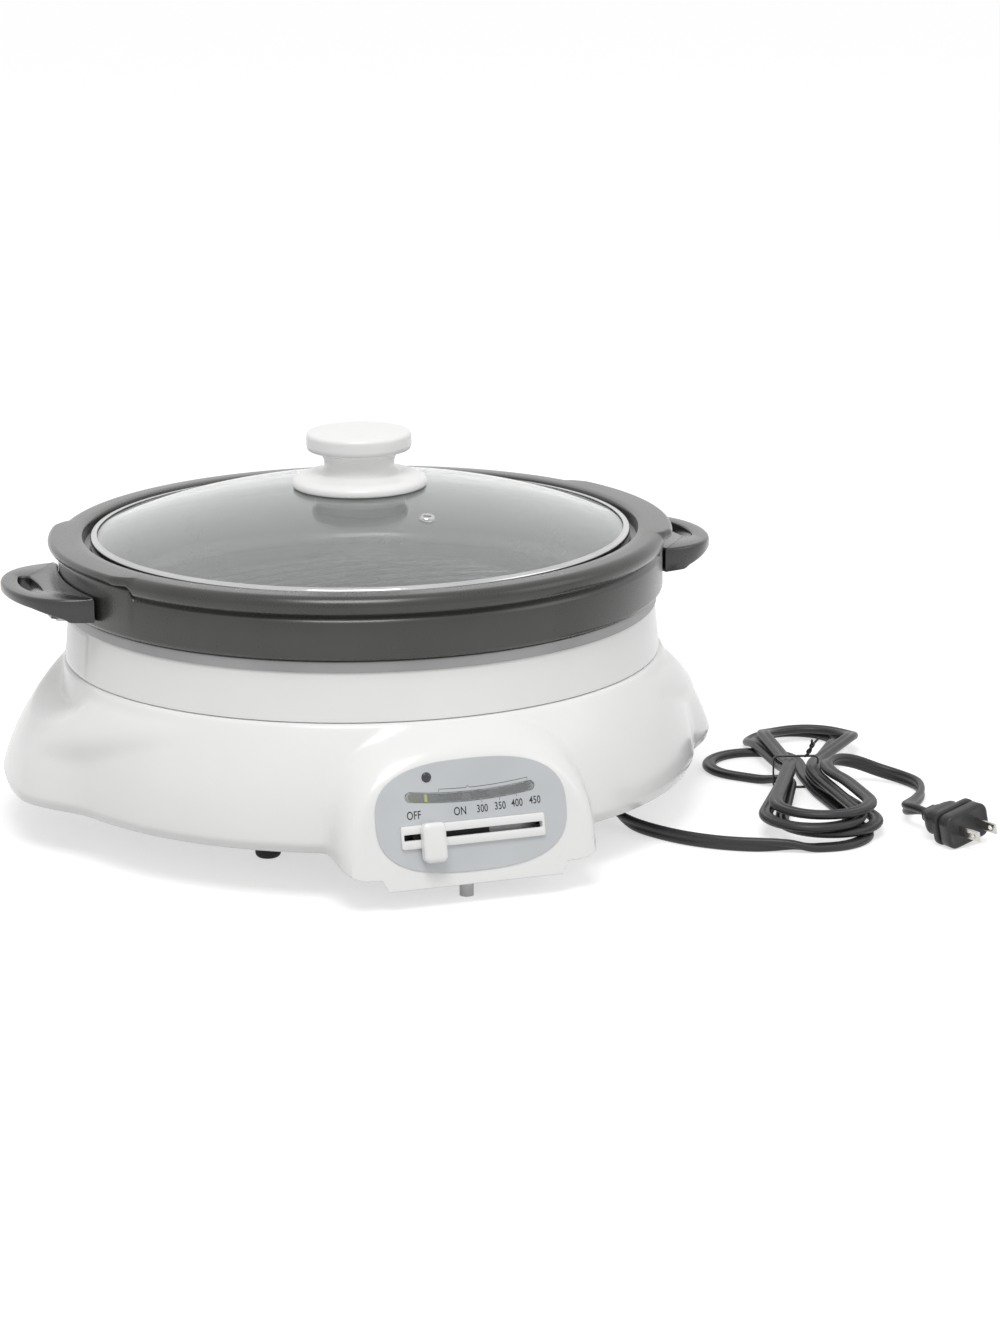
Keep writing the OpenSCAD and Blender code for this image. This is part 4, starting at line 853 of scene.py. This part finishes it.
slot_rings = [[on_panel(u, v, level) for u, v in box_outline(0, SLOT_V, width, height, corner)]
              for width, height, corner, level in (
        (SLOT_W, SLOT_H, 0.5, -WALL), (SLOT_W, SLOT_H, 0.5, 2.0),
        (SLOT_W + 0.3, SLOT_H + 0.3, 0.6, 2.3), (SLOT_W + 0.8, SLOT_H + 0.8, 0.8, 2.4),
        (FRAME_W - 1.2, FRAME_H - 1.2, 0.9, 2.4), (FRAME_W - 0.4, FRAME_H - 0.4, 1.1, 2.2),
        (FRAME_W, FRAME_H, 1.2, 1.8), (FRAME_W, FRAME_H, 1.2, 0.02),
        (FRAME_W - 1.4, SLOT_H + 3.6, 0.9, 0), (FRAME_W - 1.4, SLOT_H + 3.6, 0.9, -WALL))]
slot_frame = ringed("slot_bezel", slot_rings, closed=True, sharp=32)
fit(slot_frame, "base", "white_plastic", white_plastic, "slot_frame")

lamp_rings = []
for radius, level in ((2.3, -9), (2.75, -8.6), (2.75, 0.7), (2.6, 1.0), (2.1, 1.35), (1.2, 1.6),
                      (0.4, 1.7)):
    lamp_rings.append([on_panel(u, v, level) for u, v in disc_outline(LAMP_U, LAMP_V, radius)])
lamp_lens = ringed("lamp_lens", lamp_rings)
fit(lamp_lens, "base", "lamp_lens", finish("unlit smoked lens", (78, 80, 84), (62, 64, 68), 0.06,
    0.14, 200, 0.003, Transmission_Weight=0.35, IOR=1.5), "pilot_lamp")

# ---- Slider knob ----
# A solid white grip pushed on the carriage's neck, with rounded edges and a slight waist.
REST_U = -24.5
KNOB_W, KNOB_H = 13.6, 22.6
KNOB_DROP = 3.6            # the knob hangs lower than the slot's middle
knob_rings = []
for inset, level in ((0.5, 2.7), (0.1, 2.95), (0, 3.5), (0.25, 5.2), (0.25, 6.4), (0.05, 7.4),
                     (0.3, 8.2), (0.8, 8.8), (1.7, 9.3), (3.2, 9.55)):
    knob_rings.append([on_panel(u, v, level) for u, v in
                       box_outline(REST_U, SLOT_V - KNOB_DROP, KNOB_W - 2 * inset,
                                   KNOB_H - 2 * inset, 3.4 - 0.5 * inset, 8)])
slider = ringed("slider_grip", knob_rings, sharp=40)
fit(slider, "slider", "white_plastic", white_plastic, "slider_knob")

# ---- Collar ----
# A lift-off white plastic ring between the base and the pan, with a smooth raised pad at each
# side, and a grey satin metal ring on top that the pan stands on.
COLLAR_IN = 168.1
LOW_R = 177
COLLAR_R = 174.2
COLLAR_Z = 128.4
COLLAR_LOW = 98.3
SIDE_PAD = 8


def pad_lift(phi):
    return 0.8 * eased((SIDE_PAD - abs(abs(phi) - 90)) / 0.5 + 0.5)


def collar_section(phi):
    low, high = COLLAR_LOW, COLLAR_Z
    out = []
    for k in range(17):
        z = low + 1.2 + (high - low - 2.8) * k / 16
        rise = (z - low) / (high - low)
        edge = eased((z - low - 0.8) / 1.2) * eased((high - 2.2 - z) / 1.2)
        out.append((LOW_R + (COLLAR_R - LOW_R) * rise + pad_lift(phi) * edge, z))
    return ([(LOW_R - 1.6, low), (LOW_R - 0.7, low + 0.12), (LOW_R - 0.15, low + 0.55)] + out
            + [(COLLAR_R - 0.1, high - 0.9), (COLLAR_R - 0.5, high - 0.2), (COLLAR_R - 1.2, high),
               (COLLAR_IN, high), (COLLAR_IN, high - 2.5), (COLLAR_R - WALL, high - 2.5),
               (LOW_R - WALL, low + 2.5), (COLLAR_IN, low + 2.5), (COLLAR_IN, low)])


def whole_round(dense):
    """Each degree round the axis, in quarters where dense is so for its angle off the side."""
    return [k + q / 4 for k in range(-180, 180)
            for q in range(4 if dense(abs(abs(k + 0.5) - 90)) else 1)]


collar = round_skin("collar_shell", whole_round(lambda off: off < SIDE_PAD + 2), collar_section,
                    sharp=32)
fit(collar, "collar", "white_plastic", white_plastic, "collar_ring")


def rounded(corners, closed=True, steps=4):
    """Corners of (radius, height) and, where there is one, the length each is rounded over."""
    out = []
    for i, corner in enumerate(corners):
        p = Vector(corner[:2])
        if len(corner) < 3 or (not closed and i in (0, len(corners) - 1)):
            out.append(tuple(p))
            continue
        a, b = Vector(corners[i - 1][:2]), Vector(corners[(i + 1) % len(corners)][:2])
        start = p + (a - p).normalized() * min(corner[2], (a - p).length / 2)
        end = p + (b - p).normalized() * min(corner[2], (b - p).length / 2)
        for k in range(steps + 1):
            t = k / steps
            out.append(tuple(start * (1 - t) ** 2 + p * 2 * t * (1 - t) + end * t * t))
    return out


def turned(name, outline, closed=True, steps=240, sharp=35):
    """An outline of (radius, height) turned round the pot's axis with the screw tool."""
    count = len(outline)
    piece = meshed(name, [(r * MM, 0, z * MM) for r, z in outline],
                   [(i, (i + 1) % count) for i in range(count if closed else count - 1)], [])
    modified(piece, "SCREW", steps=steps, render_steps=steps, use_merge_vertices=True,
             merge_threshold=1e-6)
    piece.data.transform(Matrix.Translation((0, AXIS_Y * MM, 0)))
    return cleaned(piece, sharp, 1e-6)


RING_R = 175.4
RING_Z = 134
RING_LIP = 0.9
SHEET = 1.5
ring = turned("metal_ring", rounded([
    (COLLAR_IN, RING_Z), (RING_R, RING_Z, 2.2), (RING_R, COLLAR_Z - 1.4, 0.35),
    (RING_R - RING_LIP, COLLAR_Z - 1.4, 0.3), (RING_R - RING_LIP, COLLAR_Z + 0.02),
    (COLLAR_IN, COLLAR_Z + 0.02), (COLLAR_IN, COLLAR_Z + SHEET),
    (RING_R - SHEET, COLLAR_Z + SHEET, 0.8), (RING_R - SHEET, RING_Z - SHEET, 1.2),
    (COLLAR_IN, RING_Z - SHEET)]))
fit(ring, "collar", "support_metal", finish("satin ring metal", (150, 150, 150), (140, 140, 141),
    0.34, 0.46, 260, 0.01, 14, Metallic=0.85), "support_ring")

# ---- Pan ----
# A cast aluminium grill pan with a dark non-stick coat: a rolled rim that widens to an ear at
# each side, a ledge for the lid, raised curved ridges on its floor, and lugs for the handles.
LID_R = 160
LEDGE_R = 164
BOWL_R = 152
LIP_R = 181
WALL_R = 179.2
SKIRT_IN = 175
RIM_Z = 171.2
LEDGE_Z = 164
FLOOR_Z = 130
CAST = 4
PAN_BOTTOM = 126
CONTACT_Z = 120.3
EAR_HALF = 27
EAR_OUT = 4


def pan_section(phi):
    """The rim is rolled down, but over the ears it is flat and thin and the wall runs up to it."""
    into_ear = EAR_HALF - abs(abs(phi) - 90)
    ear = EAR_OUT * eased(into_ear / 4.5)
    flat = eased((into_ear + 0.5) / 2)
    lip, roll_r = LIP_R + ear, 6 - 3.2 * flat
    under = RIM_Z - 12.4 + 6.4 * flat
    foot = RING_Z + 0.3
    return ([(0, FLOOR_Z), (50, FLOOR_Z), (100, FLOOR_Z), (116, FLOOR_Z), (118, FLOOR_Z - 0.15),
             (119.5, FLOOR_Z - 0.85), (121.5, FLOOR_Z - 1)]
            + arc(BOWL_R - 12, FLOOR_Z + 9, 10, -90, -8, 12)
            + [(BOWL_R + 0.2, LEDGE_Z - 1.6), (BOWL_R + 0.7, LEDGE_Z - 0.5), (BOWL_R + 1.8, LEDGE_Z),
               (LEDGE_R - 1, LEDGE_Z), (LEDGE_R - 0.2, LEDGE_Z + 0.3), (LEDGE_R, LEDGE_Z + 1.2),
               (LEDGE_R + 0.4, RIM_Z - 1.6), (LEDGE_R + 0.9, RIM_Z - 0.5), (LEDGE_R + 2.2, RIM_Z)]
            + [(LEDGE_R + 6, RIM_Z + 0.1)]
            + arc(lip - roll_r, RIM_Z - roll_r, roll_r, 90, -64, 18)
            + [(LIP_R - 4, under), (WALL_R - 1.4, under - 1), (WALL_R - 0.4, under - 2),
               (WALL_R, under - 3.6)]
            + arc(WALL_R - 3, foot + 3, 3, 0, -90, 6)
            + [(171.6, foot), (171.6, foot + CAST), (174.4, foot + CAST + 2), (174.4, RIM_Z - 8),
               (172, LEDGE_Z - CAST - 1), (BOWL_R + CAST + 1, LEDGE_Z - CAST - 1),
               (BOWL_R + CAST - 3, FLOOR_Z + 8)]
            + arc(BOWL_R - 12, FLOOR_Z + 9, 10 + CAST, -10, -90, 8)
            + [(100, PAN_BOTTOM), (96, CONTACT_Z), (78, CONTACT_Z), (74, PAN_BOTTOM),
               (0, PAN_BOTTOM)])


pan = round_skin("pan_casting", whole_round(lambda off: abs(off - EAR_HALF + 1.5) < 4),
                 pan_section, sharp=34)
RIDGE_X, RIDGE_Y = 30, -180
RIDGE_ZONE = 104
RIDGE_H = 2.4
RIDGE_PITCH = 16
pan_parts = [pan]
ridge_r = 80.0
while ridge_r < 290:
    inside = [a for a in range(0, 1800)
              if hypot(RIDGE_X + ridge_r * cos(a * pi / 1800),
                            RIDGE_Y + ridge_r * sin(a * pi / 1800)) < RIDGE_ZONE]
    if len(inside) > 40:
        first, last = inside[0] * pi / 1800, inside[-1] * pi / 1800
        count = max(12, int(ridge_r * (last - first) / 4))
        rings = []
        for k in range(count + 1):
            a = first + (last - first) * k / count
            end = min(k, count - k) * ridge_r * (last - first) / count
            h = 0.05 + RIDGE_H * eased(end / 4)
            w = 0.7 + 0.7 * eased(end / 4)
            rings.append([(RIDGE_X + (ridge_r + u * w) * cos(a),
                           RIDGE_Y + (ridge_r + u * w) * sin(a), FLOOR_Z - 0.4 + t * (h + 0.4))
                          for u, t in ((-1.5, 0), (-1.35, 0.35), (-1.1, 0.75), (-0.6, 0.97), (0, 1),
                                       (0.6, 0.97), (1.1, 0.75), (1.35, 0.35), (1.5, 0))])
        pan_parts.append(ringed("ridge", rings, sharp=50))
    ridge_r += RIDGE_PITCH
LUG_Y = 24
LUG_TOP = 143.2
LUG_T = 4.5
for side in (1, -1):
    for y in (-LUG_Y, LUG_Y):
        outline = [(SKIRT_IN, y - 6), (SKIRT_IN + 18, y - 6), (SKIRT_IN + 20, y - 4),
                   (SKIRT_IN + 20, y + 4), (SKIRT_IN + 18, y + 6), (SKIRT_IN, y + 6)]
        pan_parts.append(ringed("lug", [[(side * u, side * v, z) for u, v in outline]
                                        for z in (LUG_TOP - LUG_T, LUG_TOP)]))
joined(pan_parts)
fit(pan, "pan", "pan_coat", finish("non-stick coat", (58, 58, 56), (50, 50, 48), 0.24, 0.34, 900,
    0.02, Metallic=0.35, Coat_Weight=0.45, Coat_Roughness=0.22), "pan")

# ---- Pan handles ----
# Two half-oval grips of satin black plastic, each thick at its root and thin at its tip, with
# one finger hole. Each is screwed to the pan's lugs from below.
HANDLE_R = 216.5
HANDLE_HALF = 50
HANDLE_Z = 153.6
HOLE_IN = HANDLE_R - 20.5
HOLE_OUT = HANDLE_R - 10
ROOT = WALL_R - 7


def handle_under(x):
    """Height of the handle's underside at a distance from the pot's axis."""
    marks = ((WALL_R - 6, HANDLE_Z - 14.6), (WALL_R + 9, HANDLE_Z - 14), (HANDLE_R - 25, HANDLE_Z - 12),
             (HANDLE_R - 17, HANDLE_Z - 9.4), (HANDLE_R - 9, HANDLE_Z - 6.8), (HANDLE_R + 2, HANDLE_Z - 5))
    for (xa, za), (xb, zb) in zip(marks, marks[1:]):
        if x <= xb:
            return za + (zb - za) * max(0, x - xa) / (xb - xa)
    return marks[-1][1]


def handle_edge():
    """Outline of the grip from one root corner over the tip to the other, then the root arc."""
    out = []
    for k in range(97):
        a = radians(-90 + 180 * k / 96)
        out.append(Vector((ROOT + (HANDLE_R - ROOT) * cos(a) ** 0.85,
                           HANDLE_HALF * sin(a) * (1 + 0.1 * cos(a) ** 2))))
    out = [p for p in out if p.length > WALL_R + 0.3]
    a0, a1 = atan2(out[-1].y, out[-1].x), atan2(out[0].y, out[0].x)
    for k in range(1, 24):
        a = a0 + (a1 - a0) * k / 24
        out.append(Vector((cos(a), sin(a))) * (WALL_R + 0.2))
    return out


def handle(name, side):
    edge = handle_edge()
    mid = Vector(((HOLE_IN + HOLE_OUT) / 2, 0))
    half_gap = (HOLE_OUT - HOLE_IN) / 2
    n = len(edge)
    rings = []
    for i, p in enumerate(edge):
        way = (edge[(i + 1) % n] - edge[i - 1]).normalized()
        inward = Vector((-way.y, way.x))
        if inward.dot(mid - p) < 0 and abs(p.y) < 10:
            inward = -inward
        nearest = Vector((mid.x, max(-15, min(15, p.y * 0.45))))
        q = nearest + (p - nearest).normalized() * half_gap
        to_hole = (nearest - q).normalized()
        ring = [(p + inward * t, HANDLE_Z - drop)
                for t, drop in ((0.0, 1.7), (0.35, 0.75), (0.9, 0.2), (1.9, 0))]
        ring += [(q + to_hole * t, HANDLE_Z - drop)
                 for t, drop in ((-1.3, 0), (-0.5, 0.2), (-0.12, 0.6), (0, 1.3))]
        low = [(q + to_hole * t, lift) for t, lift in ((0, 1.0), (-0.5, 0.2), (-1.4, 0))]
        low += [(q.lerp(p, t), 0) for t in (0.25, 0.5, 0.75)]
        low += [(p + inward * t, lift) for t, lift in ((1.5, 0), (0.5, 0.25), (0.05, 0.9))]
        ring += [(s, handle_under(s.x) + lift) for s, lift in low]
        rings.append([(side * s.x, side * s.y, z) for s, z in ring])
    return ringed(name, rings, closed=True, sharp=40)


handle_black = finish("satin black plastic", (44, 44, 45), (38, 38, 39), 0.22, 0.32,
                      1300, 0.02, Coat_Weight=0.4, Coat_Roughness=0.18)
for name, side, node in (("right_grip", 1, "right_pan_handle"), ("left_grip", -1, "left_pan_handle")):
    fit(handle(name, side), "pan", "handle_plastic", handle_black, node)

# ---- Lid ----
# A domed disc of clear toughened glass in a rolled rim of polished steel, with a steel eyelet
# as its steam vent.
GLASS_RISE = 28
GLASS_T = 3.8
dome_r = ((LID_R - 3) ** 2 + GLASS_RISE ** 2) / (2 * GLASS_RISE)
dome_top = RIM_Z - 1.2 + GLASS_RISE
dome_c = dome_top - dome_r
RIM_LOW = LEDGE_Z + 0.3


def dome(radius, at):
    return dome_c + sqrt(radius * radius - at * at)


GLASS_EDGE = LID_R - 0.8
inner_r = dome_r - GLASS_T
glass_outline = [(GLASS_EDGE * k / 40, dome(dome_r, GLASS_EDGE * k / 40)) for k in range(40)]
glass_outline += [(GLASS_EDGE - 0.5, dome(dome_r, GLASS_EDGE - 0.5)),
                  (GLASS_EDGE, dome(dome_r, GLASS_EDGE) - 0.5),
                  (GLASS_EDGE, dome(inner_r, GLASS_EDGE) + 0.5),
                  (GLASS_EDGE - 0.5, dome(inner_r, GLASS_EDGE - 0.5))]
glass_outline += [(GLASS_EDGE * k / 40, dome(inner_r, GLASS_EDGE * k / 40))
                  for k in range(39, -1, -1)]
glass = turned("glass_dome", glass_outline, closed=False, steps=256, sharp=40)

VENT_R = 78
vent_tilt = asin(VENT_R / dome_r)
vent_frame = (Matrix.Rotation(radians(-90 + 13), 4, "Z") @ Matrix.Translation((0, 0, dome_c))
              @ Matrix.Rotation(vent_tilt, 4, "Y") @ Matrix.Translation((0, 0, dome_r)))


def vent_turned(name, outline, closed):
    rings = [[vent_frame @ Vector((r * c, r * s, z)) for c, s in circle(48)] for r, z in outline]
    return ringed(name, rings, closed)


cut(glass, vent_turned("vent_cut", [(3.25, -10), (3.25, 6)], False))
take_up(glass)
smooth_under(30)
fit(glass, "lid", "glass", finish("clear glass", (246.99, 250.46, 249.31), (246.4, 249.89, 248.73),
    0.0, 0.012, 60, 0.0005, Transmission_Weight=0.92, IOR=1.52), "lid_glass")

rim = turned("steel_rim", rounded([
    (LID_R - inset, z, *corner) for inset, z, *corner in (
        (4, RIM_LOW), (0.2, RIM_LOW, 0.8), (0, RIM_Z - 1.2, 1.2), (1.0, RIM_Z - 0.1, 0.9),
        (2.2, RIM_Z - 0.5, 0.5), (2.9, RIM_Z - 0.05, 0.5), (4.0, RIM_Z + 0.15, 0.3),
        (4.0, RIM_Z - 0.5, 0.2), (1.0, RIM_Z - 1.2, 0.6), (0.65, RIM_LOW + 0.5, 0.4),
        (4, RIM_LOW + 0.5))]), steps=256)
rim_steel = finish("polished rim steel", (206, 206, 206), (194, 194, 195), 0.1, 0.18,
                   300, 0.003, 30, Metallic=1.0)
fit(rim, "lid", "rim_steel", rim_steel, "lid_rim")

vent = vent_turned("vent_eyelet", [
    (2.1, -4.8), (2.1, 0.2), (2.3, 0.7), (2.8, 1.0), (3.5, 0.9), (4.2, 0.45), (4.45, 0.1),
    (4.3, 0.02), (3.2, 0.02), (3.2, -3.9), (4.4, -3.95), (4.4, -4.7), (3.2, -4.95)], True)
fit(vent, "lid", "rim_steel", rim_steel, "lid_vent")

# ---- Lid knob ----
# A white plastic mushroom: a wide skirt on the glass, a waist for the fingers and a flat top.
# A silicone washer lies under it, and a grey boss clamps it from below with one screw.
KNOB_SKIRT, KNOB_TOP, KNOB_NECK, KNOB_RISE = 39.6, 31, 20.8, 32
knob_low = dome_top - 3.6
knob_high = dome_top + KNOB_RISE
knob = turned("knob_mushroom", rounded([
    (2.55, dome_top + 1.8), (15.3, dome_top + 1.8), (15.3, dome(dome_r, 15.3) + 0.3),
    (KNOB_SKIRT - 0.5, dome(dome_r, KNOB_SKIRT) + 0.3, 0.3),
    *[(r, knob_low + up, corner) for r, up, corner in (
        (KNOB_SKIRT + 0.2, 2.8, 1.2), (KNOB_SKIRT, 6, 1.6), (KNOB_SKIRT - 3.8, 8.6, 2.4),
        (KNOB_NECK + 3.6, 10.6, 2), (KNOB_NECK + 0.5, 12.6, 1.5), (KNOB_NECK - 0.2, 15.5, 1.5),
        (KNOB_NECK + 0.3, 19, 1.5), (KNOB_NECK + 1.8, 21.6, 1.5), (KNOB_NECK + 6.4, 23.2, 1.5),
        (KNOB_TOP - 0.5, 24.4, 0.8), (KNOB_TOP + 0.1, 26.2, 1))],
    (KNOB_TOP + 0.1, knob_high - 2.6, 1.2),
    (KNOB_TOP - 1.3, knob_high - 1, 1.5), (KNOB_TOP - 8, knob_high - 0.3, 3),
    (0, knob_high - 0.1), (0, knob_high - 17), (2.55, knob_high - 17)], closed=False),
    closed=False, steps=160, sharp=38)
fit(knob, "lid", "white_plastic", white_plastic, "lid_knob")
boss_low = dome_top - GLASS_T - 14
boss = turned("clamp_boss", rounded([
    (2.8, dome(inner_r, 2.8) - 0.1), (2.8, boss_low), (25.6, boss_low, 0.3),
    (26.6, boss_low + 0.8, 0.6), (27.7, dome(inner_r, 27.7) - 0.1)]), steps=120)
fit(boss, "lid", "boss_plastic", finish("grey boss plastic", (112, 115, 116), (104, 107, 108),
    0.35, 0.48, 900, 0.02), "knob_boss")
gasket_silicone = finish("silicone washer", (198, 198, 196), (188, 188, 186),
                         0.5, 0.62, 900, 0.02)
dress(gasket_silicone, "knob_gasket")
